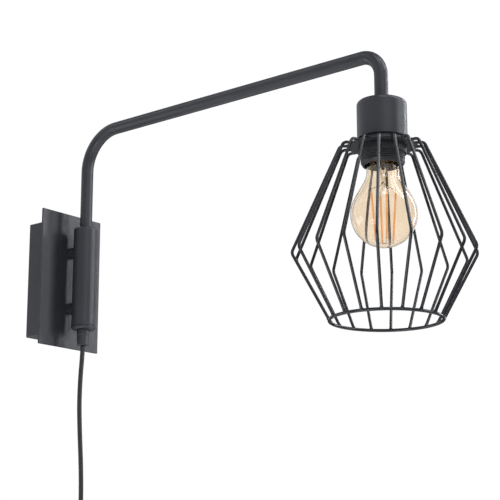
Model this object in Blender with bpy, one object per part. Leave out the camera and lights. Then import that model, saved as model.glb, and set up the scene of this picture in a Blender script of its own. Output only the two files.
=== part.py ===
"""Swing-arm wall lamp: a wall box with a front plate, a pivot sleeve on two
standoffs, a bent swinging tube with a wire-cage head, and a mains lead.

Frame, in metres: the wall is the plane Y = 0 and the lamp stands out along -Y.
+Z is up, X runs along the wall, and the origin is the middle of the wall
bracket's back face.
"""

import bpy
import bmesh
import math
from mathutils import Vector, Matrix

for _ob in list(bpy.data.objects):
    bpy.data.objects.remove(_ob, do_unlink=True)

MM = 0.001
GAP = 0.3  # mm left between pieces that touch

# ------------------------------------------------------------------ dimensions
# (all in millimetres)
PLATE_W, PLATE_H, PLATE_T = 84.0, 144.0, 2.0
PLATE_FRONT_Y = -32.0
BOX_W, BOX_H, BOX_D, BOX_WALL = 62.0, 122.0, 29.7, 1.5
BRACKET_W, BRACKET_T, LUG_L = 22.0, 2.0, 18.0
WALL_SCREW_Z, WALL_SCREW_R = 44.0, 2.6
HOUSING_SCREW_Y = -11.0
STANDOFF_Z, STANDOFF_R = 30.0, 6.0
M4_R, M4_CLEAR_R, M4_HEAD_R, M4_HEAD_H = 2.0, 2.4, 3.9, 2.6

AXIS_Y = -53.0  # swing axis, distance from the wall
SLEEVE_R, SLEEVE_BORE_R = 12.5, 9.5
SLEEVE_TOP, SLEEVE_BOTTOM = 54.0, -51.0
CAP_BOTTOM = -54.6
GLAND_BOTTOM, GLAND_BORE_R = -71.5, 2.8

TUBE_R, TUBE_BORE_R = 6.35, 5.3
ARM_Z = 156.7  # height of the arm's centreline
REACH = 380.0  # swing axis to lamp axis
BEND_1, BEND_2 = 41.0, 21.0  # centreline radii of the two bends
RISER_END = -37.0
CABLE_R = 2.4

HEAD_Y = AXIS_Y - REACH
CUP_R, CUP_WALL, CUP_TOP, CUP_BOTTOM, CUP_FILLET = 22.75, 1.5, 110.0, 74.0, 4.0
HOLDER_TOP, HOLDER_SHOULDER, HOLDER_RIM = 104.0, 68.7, 49.0
SKIRT_R = 19.2
HUB_R, HUB_TOP, HUB_T = 31.0, 68.4, 1.5
WIRES, WIRE_PHASE, WIRE_R = 18, 10.0, 1.4
KNEE_R, KNEE_Z = 82.6, -31.2
RING_R, RING_Z, RING_WIRE_R = 50.0, -91.4, 1.5
BULB_R, BULB_Z = 30.0, 4.0  # an A60 globe
CAP_R, CAP_LOW = 12.9, 54.3  # its E27 cap
FILAMENT_TOP, FILAMENT_LOW = 24.0, -20.0
FILAMENT_TOP_R, FILAMENT_LOW_R, FILAMENT_PHASE = 11.2, 7.9, -41.0

SWING_LIMIT = 80.0
CORD_R = 2.4
SWITCH_TOP, SWITCH_L, SWITCH_W, SWITCH_T = -240.0, 50.0, 24.0, 16.0
CORD_X, CORD_Y = 1.5, -54.9  # where the lead hangs at the switch
# The hank: one row of turns, FOLD_R at their folds, TURN_PITCH apart towards the wall
HANK_TOP, HANK_L, FOLD_R, HANK_TURNS, TURN_PITCH = -299.0, 91.4, 14.4, 7, 5.0
HANK_W, HANK_T = 2 * (FOLD_R + CORD_R) + 0.4, HANK_TURNS * TURN_PITCH + 2 * CORD_R + 0.4
HANK_BACK = HANK_TURNS * TURN_PITCH  # the lead leaves it this much further back
PLUG_TOP, PLUG_RELIEF, PLUG_BODY, PIN_L = HANK_TOP - HANK_L - 10.8, 15.0, 32.0, 19.0
ROCKER_TILT = 8.0


# ------------------------------------------------------------------- materials
def material(name, rgb, roughness, metallic=0.0, alpha=1.0):
    m = bpy.data.materials.new(name)
    m.use_nodes = True
    shader = m.node_tree.nodes["Principled BSDF"]
    shader.inputs["Base Color"].default_value = (*rgb, 1.0)
    shader.inputs["Roughness"].default_value = roughness
    shader.inputs["Metallic"].default_value = metallic
    shader.inputs["Alpha"].default_value = alpha
    m.diffuse_color = (*rgb, alpha)
    return m


COAT = material("powder_coat", (0.055, 0.058, 0.063), 0.45, 0.2)
ZINC = material("zinc_steel", (0.55, 0.55, 0.56), 0.35, 1.0)
NYLON = material("nylon", (0.75, 0.74, 0.70), 0.5)
BLACK = material("black_moulding", (0.02, 0.02, 0.022), 0.4)
BRASS = material("brass", (0.72, 0.52, 0.24), 0.3, 1.0)
NICKEL = material("nickel", (0.66, 0.64, 0.60), 0.25, 1.0)
CERAMIC = material("ceramic", (0.85, 0.84, 0.80), 0.4)
AMBER = material("amber_glass", (0.95, 0.72, 0.40), 0.05, 0.0, 0.35)
STEM_GLASS = material("stem_glass", (0.90, 0.92, 0.92), 0.05, 0.0, 0.5)
FILAMENT = material("filament", (0.95, 0.45, 0.08), 0.5)
PVC = material("black_pvc", (0.03, 0.03, 0.032), 0.5)


# --------------------------------------------------------------------- helpers
def empty(name, at, parent=None):
    ob = bpy.data.objects.new(name, None)
    ob.empty_display_size = 0.01
    ob.location = Vector(at) * MM
    if parent:
        ob.parent = parent
        ob.location -= parent.location
    bpy.context.scene.collection.objects.link(ob)
    return ob


def finish(name, bm, mat, at=(0, 0, 0), parent=None, turn=0.0, helper=False):
    """The bmesh (millimetres, about its own origin) as an object at `at`."""
    bmesh.ops.recalc_face_normals(bm, faces=bm.faces)
    bmesh.ops.scale(bm, vec=(MM, MM, MM), verts=bm.verts)
    mesh = bpy.data.meshes.new(name)
    bm.to_mesh(mesh)
    bm.free()
    return place(name, mesh, mat, at, parent, turn, helper)


def place(name, mesh, mat, at, parent, turn=0.0, helper=False):
    if mat and not mesh.materials:
        mesh.materials.append(mat)
    mesh.shade_smooth()
    mesh.set_sharp_from_angle(angle=math.radians(35))
    ob = bpy.data.objects.new(name, mesh)
    ob.location = Vector(at) * MM
    if parent:
        ob.parent = parent
        ob.location -= parent_place(parent)
    ob.rotation_euler[2] = turn
    bpy.context.scene.collection.objects.link(ob)
    if helper:
        ob.hide_render = True
        ob.display_type = "WIRE"
    return ob


def parent_place(ob):
    at = Vector((0, 0, 0))
    while ob:
        at += ob.location
        ob = ob.parent
    return at


def turned(name, profile, mat, at=(0, 0, 0), parent=None, steps=24, helper=False):
    """Turns (radius, z) points about the object's own Z axis. A profile whose ends
    lie on the axis gives a solid, and any other closes on itself as a ring."""
    bm = bmesh.new()
    solid = profile[0][0] == 0 and profile[-1][0] == 0
    rows = []
    for r, z in profile:
        if r == 0:
            rows.append([bm.verts.new((0, 0, z))] * steps)
        else:
            rows.append(
                [
                    bm.verts.new(
                        (
                            r * math.cos(2 * math.pi * k / steps),
                            r * math.sin(2 * math.pi * k / steps),
                            z,
                        )
                    )
                    for k in range(steps)
                ]
            )
    pairs = list(zip(rows, rows[1:]))
    if not solid:
        pairs.append((rows[-1], rows[0]))
    for a, b in pairs:
        for k in range(steps):
            n = (k + 1) % steps
            corners = []
            for v in (a[k], a[n], b[n], b[k]):
                if v not in corners:
                    corners.append(v)
            if len(corners) > 2:
                bm.faces.new(corners)
    return finish(name, bm, mat, at, parent, helper=helper)


def box(name, low, high, mat, at=(0, 0, 0), parent=None, helper=False):
    bm = bmesh.new()
    bmesh.ops.create_cube(bm, size=1.0)
    for v in bm.verts:
        v.co = Vector([low[i] if v.co[i] < 0 else high[i] for i in range(3)])
    return finish(name, bm, mat, at, parent, helper=helper)


def extruded(name, outline, low, high, axis, mat, at=(0, 0, 0), parent=None):
    """Extrudes an outline of 2-D points along X, Y or Z, from low to high. The
    outline's two numbers are the other two axes, in X, Y, Z order."""
    others = [i for i in range(3) if i != axis]
    bm = bmesh.new()

    def at_level(level):
        out = []
        for p in outline:
            co = [0.0, 0.0, 0.0]
            co[axis] = level
            co[others[0]], co[others[1]] = p
            out.append(bm.verts.new(co))
        return out

    a, b = at_level(low), at_level(high)
    bm.faces.new(a)
    bm.faces.new(b)
    for k in range(len(outline)):
        n = (k + 1) % len(outline)
        bm.faces.new((a[k], a[n], b[n], b[k]))
    return finish(name, bm, mat, at, parent)


def rod(name, start, end, radius, at=(0, 0, 0), parent=None, steps=16, mat=None):
    """A hidden round cutter between two points."""
    a, b = Vector(start), Vector(end)
    bm = bmesh.new()
    bmesh.ops.create_cone(
        bm,
        cap_ends=True,
        segments=steps,
        radius1=radius,
        radius2=radius,
        depth=(b - a).length,
    )
    turn = (b - a).to_track_quat("Z", "Y").to_matrix().to_4x4()
    bmesh.ops.transform(
        bm, matrix=Matrix.Translation((a + b) / 2) @ turn, verts=bm.verts
    )
    return finish(name, bm, mat, at, parent, helper=True)


def combine(ob, other, operation="DIFFERENCE"):
    mod = ob.modifiers.new(other.name, "BOOLEAN")
    mod.operation = operation
    mod.solver = "EXACT"
    mod.object = other


def bevel(ob, width, segments=1, angle=40):
    mod = ob.modifiers.new("edges", "BEVEL")
    mod.width = width * MM
    mod.segments = segments
    mod.limit_method = "ANGLE"
    mod.angle_limit = math.radians(angle)


def sweep(bm, path, radius, sides, flat_ends=True):
    """Adds a tube skin of that radius along the path, and returns its rings."""
    rings = []
    normal = None
    for i, p in enumerate(path):
        ahead = path[min(i + 1, len(path) - 1)] - path[max(i - 1, 0)]
        ahead.normalize()
        if normal is None:
            normal = (
                Vector((1, 0, 0)) if abs(ahead.x) < 0.9 else Vector((0, 1, 0))
            )
        normal = (normal - ahead * normal.dot(ahead)).normalized()
        side = ahead.cross(normal)
        rings.append(
            [
                bm.verts.new(
                    p
                    + normal * radius * math.cos(2 * math.pi * k / sides)
                    + side * radius * math.sin(2 * math.pi * k / sides)
                )
                for k in range(sides)
            ]
        )
    for a, b in zip(rings, rings[1:]):
        for k in range(sides):
            n = (k + 1) % sides
            bm.faces.new((a[k], a[n], b[n], b[k]))
    return rings


def corner(before, at, after, radius, steps):
    """Points of the arc that rounds the corner at `at`."""
    u, v = (before - at).normalized(), (after - at).normalized()
    half = u.angle(v) / 2
    middle = at + (u + v).normalized() * radius / math.sin(half)
    start, end = at + u * radius / math.tan(half), at + v * radius / math.tan(half)
    a, b = start - middle, end - middle
    whole = a.angle(b)
    return [
        middle
        + (a * math.sin(whole * (1 - t)) + b * math.sin(whole * t)) / math.sin(whole)
        for t in [k / steps for k in range(steps + 1)]
    ]


def smooth_through(points, spacing):
    """Points about `spacing` apart on a Catmull-Rom curve through the route's own."""
    p = [points[0] * 2 - points[1], *points, points[-1] * 2 - points[-2]]
    fine = []
    for a, b, c, d in zip(p, p[1:], p[2:], p[3:]):
        for k in range(16):
            t = k / 16
            fine.append(
                (
                    b * 2
                    + (c - a) * t
                    + (a * 2 - b * 5 + c * 4 - d) * t * t
                    + (b * 3 - a - c * 3 + d) * t**3
                )
                / 2
            )
    fine.append(points[-1])
    lengths = [0.0]
    for a, b in zip(fine, fine[1:]):
        lengths.append(lengths[-1] + (b - a).length)
    count = max(2, round(lengths[-1] / spacing))
    out, i = [], 0
    for k in range(count + 1):
        want = lengths[-1] * k / count
        while i < len(fine) - 2 and lengths[i + 1] < want:
            i += 1
        span = lengths[i + 1] - lengths[i]
        out.append(fine[i].lerp(fine[i + 1], (want - lengths[i]) / span))
    return out


def cable(name, path, radius, mat, at=(0, 0, 0), parent=None, resolution=2):
    """A closed round cable along the path, as a curve with a bevel and end caps."""
    data = bpy.data.curves.new(name, "CURVE")
    data.dimensions = "3D"
    data.bevel_depth = radius * MM
    data.bevel_resolution = resolution
    data.use_fill_caps = True
    line = data.splines.new("POLY")
    line.points.add(len(path) - 1)
    for point, p in zip(line.points, path):
        point.co = (*(Vector(p) * MM), 1.0)
    if mat:
        data.materials.append(mat)
    ob = bpy.data.objects.new(name, data)
    ob.location = Vector(at) * MM
    if parent:
        ob.parent = parent
        ob.location -= parent_place(parent)
    bpy.context.scene.collection.objects.link(ob)
    return ob


def screw(name, length, mat, at, parent=None, direction=(0, 0, -1)):
    """A pan-head M4 screw. Its head's underside is at `at`, and it points along
    `direction`."""
    profile = [
        (0, M4_HEAD_H),
        (M4_HEAD_R * 0.6, M4_HEAD_H * 0.96),
        (M4_HEAD_R, M4_HEAD_H * 0.5),
        (M4_HEAD_R, 0),
        (M4_R, 0),
        (M4_R, -length + 0.5),
        (M4_R - 0.5, -length),
        (0, -length),
    ]
    ob = turned(name, profile, mat, at, parent, steps=16)
    ob.rotation_mode = "QUATERNION"
    ob.rotation_quaternion = Vector(direction).to_track_quat("-Z", "Y")
    return ob


# ------------------------------------------------------------------- wall unit
# Bracket: a steel strip against the wall, with its two ends folded forward.
z1 = BOX_H / 2 - BOX_WALL - GAP
c = [
    (0, -z1),
    (0, z1),
    (-LUG_L, z1),
    (-LUG_L, z1 - BRACKET_T),
    (-BRACKET_T, z1 - BRACKET_T),
    (-BRACKET_T, -z1 + BRACKET_T),
    (-LUG_L, -z1 + BRACKET_T),
    (-LUG_L, -z1),
]
bracket = extruded("wall_bracket", c, -BRACKET_W / 2, BRACKET_W / 2, 0, ZINC)
for tag, z in (("upper", WALL_SCREW_Z), ("lower", -WALL_SCREW_Z)):
    combine(
        bracket, rod(f"cut_wall_hole_{tag}", (0, 5, z), (0, -10, z), WALL_SCREW_R)
    )
combine(
    bracket,
    rod(
        "cut_lug_holes",
        (0, HOUSING_SCREW_Y, -BOX_H),
        (0, HOUSING_SCREW_Y, BOX_H),
        M4_CLEAR_R,
    ),
)

# Housing: a folded box, open at the wall.
housing = box(
    "wall_housing",
    (-BOX_W / 2, -BOX_D, -BOX_H / 2),
    (BOX_W / 2, 0, BOX_H / 2),
    COAT,
)
bevel(housing, 0.8)
combine(
    housing,
    box(
        "cut_housing_inside",
        (-BOX_W / 2 + BOX_WALL, -BOX_D + BOX_WALL, -BOX_H / 2 + BOX_WALL),
        (BOX_W / 2 - BOX_WALL, 10, BOX_H / 2 - BOX_WALL),
        None,
        helper=True,
    ),
)
housing_screw_cut = rod(
    "cut_housing_screws",
    (0, HOUSING_SCREW_Y, -BOX_H),
    (0, HOUSING_SCREW_Y, BOX_H),
    M4_CLEAR_R,
)
combine(housing, housing_screw_cut)
screw(
    "housing_screw_top",
    8.0,
    ZINC,
    (0, HOUSING_SCREW_Y, BOX_H / 2 + GAP),
    direction=(0, 0, -1),
)
screw(
    "housing_screw_bottom",
    8.0,
    ZINC,
    (0, HOUSING_SCREW_Y, -BOX_H / 2 - GAP),
    direction=(0, 0, 1),
)

# Front plate: a flat sheet in front of the box, overhanging it all round.
plate = box(
    "front_plate",
    (-PLATE_W / 2, PLATE_FRONT_Y, -PLATE_H / 2),
    (PLATE_W / 2, PLATE_FRONT_Y + PLATE_T, PLATE_H / 2),
    COAT,
)
bevel(plate, 0.4)

# Sleeve: the fixed bearing tube of the swing axis.
sleeve = turned(
    "pivot_sleeve",
    [
        (TUBE_R + 0.4, SLEEVE_TOP),
        (SLEEVE_R - 3.6, SLEEVE_TOP),
        (SLEEVE_R - 1.05, SLEEVE_TOP - 1.05),
        (SLEEVE_R, SLEEVE_TOP - 3.6),
        (SLEEVE_R, SLEEVE_BOTTOM),
        (SLEEVE_BORE_R, SLEEVE_BOTTOM),
        (SLEEVE_BORE_R, SLEEVE_TOP - 4.0),
        (TUBE_R + 0.4, SLEEVE_TOP - 4.0),
    ],
    COAT,
    (0, AXIS_Y, 0),
    steps=28,
)

# Standoffs between the plate and the sleeve, each held by a screw from inside.
sleeve_saddle = rod(
    "cut_sleeve_saddle",
    (0, AXIS_Y, -60),
    (0, AXIS_Y, 60),
    SLEEVE_R + GAP,
    steps=32,
)
for tag, z in (("upper", STANDOFF_Z), ("lower", -STANDOFF_Z)):
    hole = rod(
        f"cut_standoff_screw_{tag}", (0, -20, z), (0, AXIS_Y + 6, z), M4_CLEAR_R
    )
    combine(housing, hole)
    combine(plate, hole)
    combine(sleeve, hole)
    bm = bmesh.new()
    bmesh.ops.create_cone(
        bm,
        cap_ends=True,
        segments=24,
        radius1=STANDOFF_R,
        radius2=STANDOFF_R,
        depth=1.0,
    )
    # from the plate to inside the saddle's cut
    a, b = PLATE_FRONT_Y - GAP, AXIS_Y + SLEEVE_R - 3.0
    for v in bm.verts:
        x, y, up = v.co
        v.co = Vector((x, a if up > 0 else b, y))
    post = finish(f"standoff_{tag}", bm, COAT, (0, 0, z))
    combine(post, sleeve_saddle)
    combine(post, hole)
    screw(
        f"standoff_screw_{tag}",
        AXIS_Y * -1 - SLEEVE_R + 2.6 - (BOX_D - BOX_WALL - GAP),
        ZINC,
        (0, -BOX_D + BOX_WALL + GAP, z),
        direction=(0, -1, 0),
    )

# Plain bearings, pressed into the sleeve's two ends.
BUSH_R, BUSH_BORE_R = SLEEVE_BORE_R - GAP, TUBE_R + GAP
for tag, low, high in (("top", 36.0, SLEEVE_TOP - 4.0 - GAP), ("bottom", -34.0, -22.0)):
    turned(
        f"sleeve_{tag}_bush",
        [(BUSH_BORE_R, high), (BUSH_R, high), (BUSH_R, low), (BUSH_BORE_R, low)],
        NYLON,
        (0, AXIS_Y, 0),
        steps=24,
    )

# Grub screw in the back of the sleeve, whose tip runs in the collar's groove.
STOP_Z = -16.0
stop_hole = rod(
    "cut_stop_screw",
    (0, AXIS_Y + SLEEVE_R + 2, STOP_Z),
    (0, AXIS_Y + SLEEVE_BORE_R - 2, STOP_Z),
    M4_CLEAR_R,
)
combine(sleeve, stop_hole)
stop = turned(
    "swing_stop_screw",
    [(0, 0), (M4_R, 0), (M4_R, -3.0), (1.4, -3.4), (1.4, -4.3), (0, -4.3)],
    ZINC,
    (0, AXIS_Y + SLEEVE_R - 0.3, STOP_Z),
    steps=12,
)
stop.rotation_mode = "QUATERNION"
stop.rotation_quaternion = Vector((0, -1, 0)).to_track_quat("-Z", "Y")

# Cap under the sleeve, and the round gland that the lead leaves by.
turned(
    "sleeve_end_cap",
    [
        (5.2, CAP_BOTTOM),
        (SLEEVE_R - 2.6, CAP_BOTTOM),
        (SLEEVE_R - 0.8, CAP_BOTTOM + 0.8),
        (SLEEVE_R, CAP_BOTTOM + 2.4),
        (SLEEVE_R, SLEEVE_BOTTOM - GAP),
        (SLEEVE_BORE_R - 0.4, SLEEVE_BOTTOM - GAP),
        (SLEEVE_BORE_R - 0.4, SLEEVE_BOTTOM + 4),
        (5.2, SLEEVE_BOTTOM + 4),
    ],
    COAT,
    (0, AXIS_Y, 0),
    steps=28,
)
turned(
    "cord_gland",
    [
        (GLAND_BORE_R, GLAND_BOTTOM),
        (5.7, GLAND_BOTTOM),
        (6.1, GLAND_BOTTOM + 0.4),
        (6.1, CAP_BOTTOM - 6.2),
        (6.5, CAP_BOTTOM - 5.8),
        (6.5, CAP_BOTTOM - GAP),
        (4.8, CAP_BOTTOM - GAP),
        (4.8, SLEEVE_BOTTOM + 5),
        (GLAND_BORE_R, SLEEVE_BOTTOM + 5),
    ],
    COAT,
    (0, AXIS_Y, 0),
    steps=24,
)

# ------------------------------------------------------------------ swinging arm
swing = empty("swing_axis", (0, AXIS_Y, 0))

riser_top = Vector((0, 0, ARM_Z))
arm_end = Vector((0, -REACH, ARM_Z))
path = [Vector((0, 0, RISER_END))]
path += corner(path[0], riser_top, arm_end, BEND_1, 8)
path += corner(riser_top, arm_end, Vector((0, -REACH, 0)), BEND_2, 6)
path.append(Vector((0, -REACH, CUP_TOP + GAP)))
bm = bmesh.new()
outer = sweep(bm, path, TUBE_R, 16)
inner = sweep(bm, path, TUBE_BORE_R, 16)
for end in (0, -1):
    for k in range(16):
        n = (k + 1) % 16
        bm.faces.new((outer[end][k], outer[end][n], inner[end][n], inner[end][k]))
finish("arm_tube", bm, COAT, (0, AXIS_Y, 0), swing)

# Collar fixed on the tube inside the sleeve: it carries the arm on the bottom
# bush, and its groove lets the stop screw travel SWING_LIMIT each way.
tip_half = math.degrees(math.asin(1.4 / 7.9))
groove = SWING_LIMIT + tip_half + 1.7
outline = []
steps = 48
for k in range(steps):
    turn = 360.0 * k / steps
    from_back = abs((turn - 90 + 180) % 360 - 180)
    outline.append((turn, 7.3 if from_back < groove + 0.01 else 8.9))
bm = bmesh.new()
levels = []
for z in (-21.7, -11.0):
    levels.append(
        (
            [
                bm.verts.new(
                    (
                        r * math.cos(math.radians(t)),
                        r * math.sin(math.radians(t)),
                        z,
                    )
                )
                for t, r in outline
            ],
            [
                bm.verts.new(
                    (
                        (TUBE_R + GAP) * math.cos(math.radians(t)),
                        (TUBE_R + GAP) * math.sin(math.radians(t)),
                        z,
                    )
                )
                for t, r in outline
            ],
        )
    )
(lo_out, lo_in), (hi_out, hi_in) = levels
for k in range(steps):
    n = (k + 1) % steps
    bm.faces.new((lo_out[k], lo_out[n], hi_out[n], hi_out[k]))
    bm.faces.new((lo_in[k], lo_in[n], hi_in[n], hi_in[k]))
    bm.faces.new((lo_out[k], lo_out[n], lo_in[n], lo_in[k]))
    bm.faces.new((hi_out[k], hi_out[n], hi_in[n], hi_in[k]))
finish("arm_stop_collar", bm, ZINC, (0, AXIS_Y, 0), swing)

# Cable through the gland, the riser, the arm and the drop, into the holder.
path = [Vector((0, 0, z)) for z in (GLAND_BOTTOM + 0.2, -40, 30, 80)]
path += corner(Vector((0, 0, 0)), riser_top, arm_end, BEND_1, 8)
path += corner(riser_top, arm_end, Vector((0, -REACH, 0)), BEND_2, 6)
path += [Vector((0, -REACH, 89.5))]
cable("inner_cable", path, CABLE_R, PVC, (0, AXIS_Y, 0), swing, resolution=1)

# ---------------------------------------------------------------- lamp head
AT_HEAD = (0, HEAD_Y, 0)
turned(
    "holder_nipple",
    [(4.6, 122.0), (4.6, 92.0), (3.1, 92.0), (3.1, 122.0)],
    BRASS,
    AT_HEAD,
    swing,
    steps=16,
)


def fillet(r, z, radius, steps, inside=0.0):
    """A quarter circle from the flat top round to the side, for turned edges."""
    return [
        (
            r - radius + (radius - inside) * math.sin(math.pi / 2 * k / steps),
            z - radius + (radius - inside) * math.cos(math.pi / 2 * k / steps),
        )
        for k in range(steps + 1)
    ]


turned(
    "socket_cup",
    [(5.0, CUP_TOP)]
    + fillet(CUP_R, CUP_TOP, CUP_FILLET, 4)
    + [(CUP_R, CUP_BOTTOM), (CUP_R - CUP_WALL, CUP_BOTTOM)]
    + fillet(CUP_R, CUP_TOP, CUP_FILLET, 3, CUP_WALL)[::-1]
    + [(5.0, CUP_TOP - CUP_WALL)],
    COAT,
    AT_HEAD,
    swing,
    steps=28,
)
turned(
    "lamp_holder",
    [
        (5.2, HOLDER_TOP),
        (16.5, HOLDER_TOP),
        (20.7, HOLDER_TOP - 5),
        (20.7, HOLDER_SHOULDER),
        (SKIRT_R, HOLDER_SHOULDER),
        (SKIRT_R, HOLDER_RIM),
        (16.3, HOLDER_RIM),
        (16.3, HOLDER_RIM + 6),
        (14.5, HOLDER_RIM + 7.5),
        (14.5, 95.0),
        (5.2, 98.0),
    ],
    BLACK,
    AT_HEAD,
    swing,
    steps=28,
)
turned(
    "screw_shell",
    [(14.1, 80.0), (14.1, 58.0), (13.3, 58.0), (13.3, 80.0)],
    BRASS,
    AT_HEAD,
    swing,
    steps=24,
)
turned(
    "centre_contact",
    [(0, 82.2), (5.5, 82.2), (5.5, 81.2), (3.0, 80.3), (0, 80.3)],
    BRASS,
    AT_HEAD,
    swing,
    steps=16,
)
turned(
    "holder_insert",
    [(0, 87.5), (14.1, 87.5), (14.1, 82.6), (0, 82.6)],
    CERAMIC,
    AT_HEAD,
    swing,
    steps=24,
)
turned(
    "shade_ring_nut",
    [(21.6, 66.5), (21.6, 59.7), (SKIRT_R + 0.4, 59.7), (SKIRT_R + 0.4, 66.5)],
    BLACK,
    AT_HEAD,
    swing,
    steps=28,
)

# Cage: a hub plate gripped by the ring nut, 18 bent wires and a bottom ring.
turned(
    "cage_hub_plate",
    [
        (HUB_R, HUB_TOP),
        (HUB_R, HUB_TOP - HUB_T),
        (SKIRT_R + 0.4, HUB_TOP - HUB_T),
        (SKIRT_R + 0.4, HUB_TOP),
    ],
    COAT,
    AT_HEAD,
    swing,
    steps=36,
)
wire_z = HUB_TOP - HUB_T / 2
start = Vector((HUB_R + 0.35, 0, wire_z))
shoulder = Vector((38.2, 0, wire_z))
knee = Vector((KNEE_R, 0, KNEE_Z))
ring_point = Vector((RING_R, 0, RING_Z))
end = ring_point + (knee - ring_point).normalized() * (WIRE_R + RING_WIRE_R - 0.2)
path = (
    [start]
    + corner(start, shoulder, knee, 5.0, 3)
    + corner(shoulder, knee, end, 6.0, 3)
    + [end]
)
bm = bmesh.new()
rings = sweep(bm, path, WIRE_R * 1.04, 6)
bm.faces.new(rings[0])
bm.faces.new(rings[-1])
first = finish("cage_wire_01", bm, COAT, AT_HEAD, swing, math.radians(WIRE_PHASE))
for k in range(1, WIRES):
    place(
        f"cage_wire_{k + 1:02d}",
        first.data,
        None,
        AT_HEAD,
        swing,
        math.radians(WIRE_PHASE + 360.0 * k / WIRES),
    )
bm = bmesh.new()
steps, sides = 48, 6
rows = []
for k in range(steps):
    t = 2 * math.pi * (k + 0.5) / steps
    rows.append(
        [
            bm.verts.new(
                (
                    (RING_R + RING_WIRE_R * math.cos(2 * math.pi * s / sides))
                    * math.cos(t),
                    (RING_R + RING_WIRE_R * math.cos(2 * math.pi * s / sides))
                    * math.sin(t),
                    RING_Z + RING_WIRE_R * math.sin(2 * math.pi * s / sides),
                )
            )
            for s in range(sides)
        ]
    )
for k in range(steps):
    a, b = rows[k], rows[(k + 1) % steps]
    for s in range(sides):
        n = (s + 1) % sides
        bm.faces.new((a[s], a[n], b[n], b[s]))
finish("cage_bottom_ring", bm, COAT, AT_HEAD, swing)

# ----------------------------------------------------------------------- bulb
bulb = empty("bulb_axis", AT_HEAD, swing)


def bulb_outline(radius, neck, steps_globe=8, steps_neck=4):
    """(radius, z) from the tip of an A60 globe up to the neck inside its cap."""
    points = []
    for k in range(steps_globe + 1):
        t = math.radians(-90 + (26.3 + 90) * k / steps_globe)
        points.append((radius * math.cos(t), BULB_Z + radius * math.sin(t)))
    points[0] = (0.0, points[0][1])
    a = Vector(points[-1])
    t = math.radians(26.3)
    d = Vector((neck, 43.0))
    b = a + Vector((-math.sin(t), math.cos(t))) * 12.5
    c = d + Vector((0, -8.0))
    for k in range(1, steps_neck + 1):
        s = k / steps_neck
        p = (
            a * (1 - s) ** 3
            + b * 3 * s * (1 - s) ** 2
            + c * 3 * s * s * (1 - s)
            + d * s**3
        )
        points.append((p.x, p.y))
    return points


glass_out = bulb_outline(BULB_R, 15.1) + [(14.7, 47.5), (13.1, 51.4), (11.7, 53.8)]
glass_in = bulb_outline(BULB_R - 0.9, 14.2) + [(13.8, 47.5), (12.2, 51.4), (10.8, 53.8)]
turned(
    "bulb_glass",
    glass_out + [(11.7, 70.0), (10.8, 70.0)] + glass_in[::-1],
    AMBER,
    AT_HEAD,
    bulb,
    steps=24,
)
turned(
    "bulb_screw_cap",
    [
        (12.1, CAP_LOW),
        (CAP_R, CAP_LOW),
        (CAP_R, 73.5),
        (8.6, 77.2),
        (5.0, 78.0),
        (5.0, 77.2),
        (8.2, 76.4),
        (12.1, 72.8),
    ],
    BRASS,
    AT_HEAD,
    bulb,
    steps=24,
)
turned(
    "bulb_foot_contact",
    [(0, 80.0), (3.2, 79.8), (4.6, 78.8), (4.6, 76.6), (0, 76.6)],
    BRASS,
    AT_HEAD,
    bulb,
    steps=16,
)
turned(
    "bulb_stem",
    [(0, 62.0), (7.5, 62.0), (6.5, 56.0), (3.6, 48.0), (2.6, 36.0), (2.0, 26.0), (0, 25.4)],
    STEM_GLASS,
    AT_HEAD,
    bulb,
    steps=12,
)


def cross(name, half, arm, low, high, helper):
    """A four-armed flat spider about the bulb's axis, turned to the filaments."""
    w = half
    outline = [
        (arm, -w),
        (arm, w),
        (w, w),
        (w, arm),
        (-w, arm),
        (-w, w),
        (-arm, w),
        (-arm, -w),
        (-w, -w),
        (-w, -arm),
        (w, -arm),
        (w, -w),
    ]
    t = math.radians(FILAMENT_PHASE)
    outline = [
        (x * math.cos(t) - y * math.sin(t), x * math.sin(t) + y * math.cos(t))
        for x, y in outline
    ]
    ob = extruded(name, outline, low, high, 2, FILAMENT, AT_HEAD, bulb)
    if helper:
        ob.hide_render = True
        ob.display_type = "WIRE"
    return ob


# The four filaments with the metal spiders that carry them, as one assembly.
filaments = cross(
    "bulb_filaments", 0.6, FILAMENT_TOP_R + 0.3, FILAMENT_TOP, FILAMENT_TOP + 1.0, False
)
combine(
    filaments,
    cross(
        "join_low_spider",
        0.6,
        FILAMENT_LOW_R + 0.3,
        FILAMENT_LOW - 1.0,
        FILAMENT_LOW,
        True,
    ),
    "UNION",
)
for k in range(4):
    t = math.pi / 2 * k + math.radians(FILAMENT_PHASE)
    post = rod(
        f"join_filament_{k + 1}",
        (
            FILAMENT_LOW_R * math.cos(t),
            FILAMENT_LOW_R * math.sin(t),
            FILAMENT_LOW - 0.5,
        ),
        (
            FILAMENT_TOP_R * math.cos(t),
            FILAMENT_TOP_R * math.sin(t),
            FILAMENT_TOP + 0.5,
        ),
        0.95,
        AT_HEAD,
        bulb,
        steps=8,
        mat=FILAMENT,
    )
    combine(filaments, post, "UNION")

# ------------------------------------------------------------------ mains lead
# The lead hangs from the gland in a slight bow, down to an inline switch.
SIDE = Vector((0.638, -0.770, 0))  # direction of the bow
route = [
    Vector((0, AXIS_Y, 0)) + SIDE * off + Vector((0, 0, z))
    for off, z in (
        (0.0, GLAND_BOTTOM - GAP),
        (-0.3, -82.0),
        (-1.1, -97.0),
        (-1.7, -113.0),
        (-1.8, -133.0),
        (-1.0, -154.0),
        (-0.1, -170.0),
        (0.7, -183.0),
        (1.4, -196.0),
        (2.0, -212.0),
        (2.3, -226.0),
        (2.4, SWITCH_TOP + GAP),
    )
]
cable("cord_upper", smooth_through(route, 12.0), CORD_R, PVC)

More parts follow.
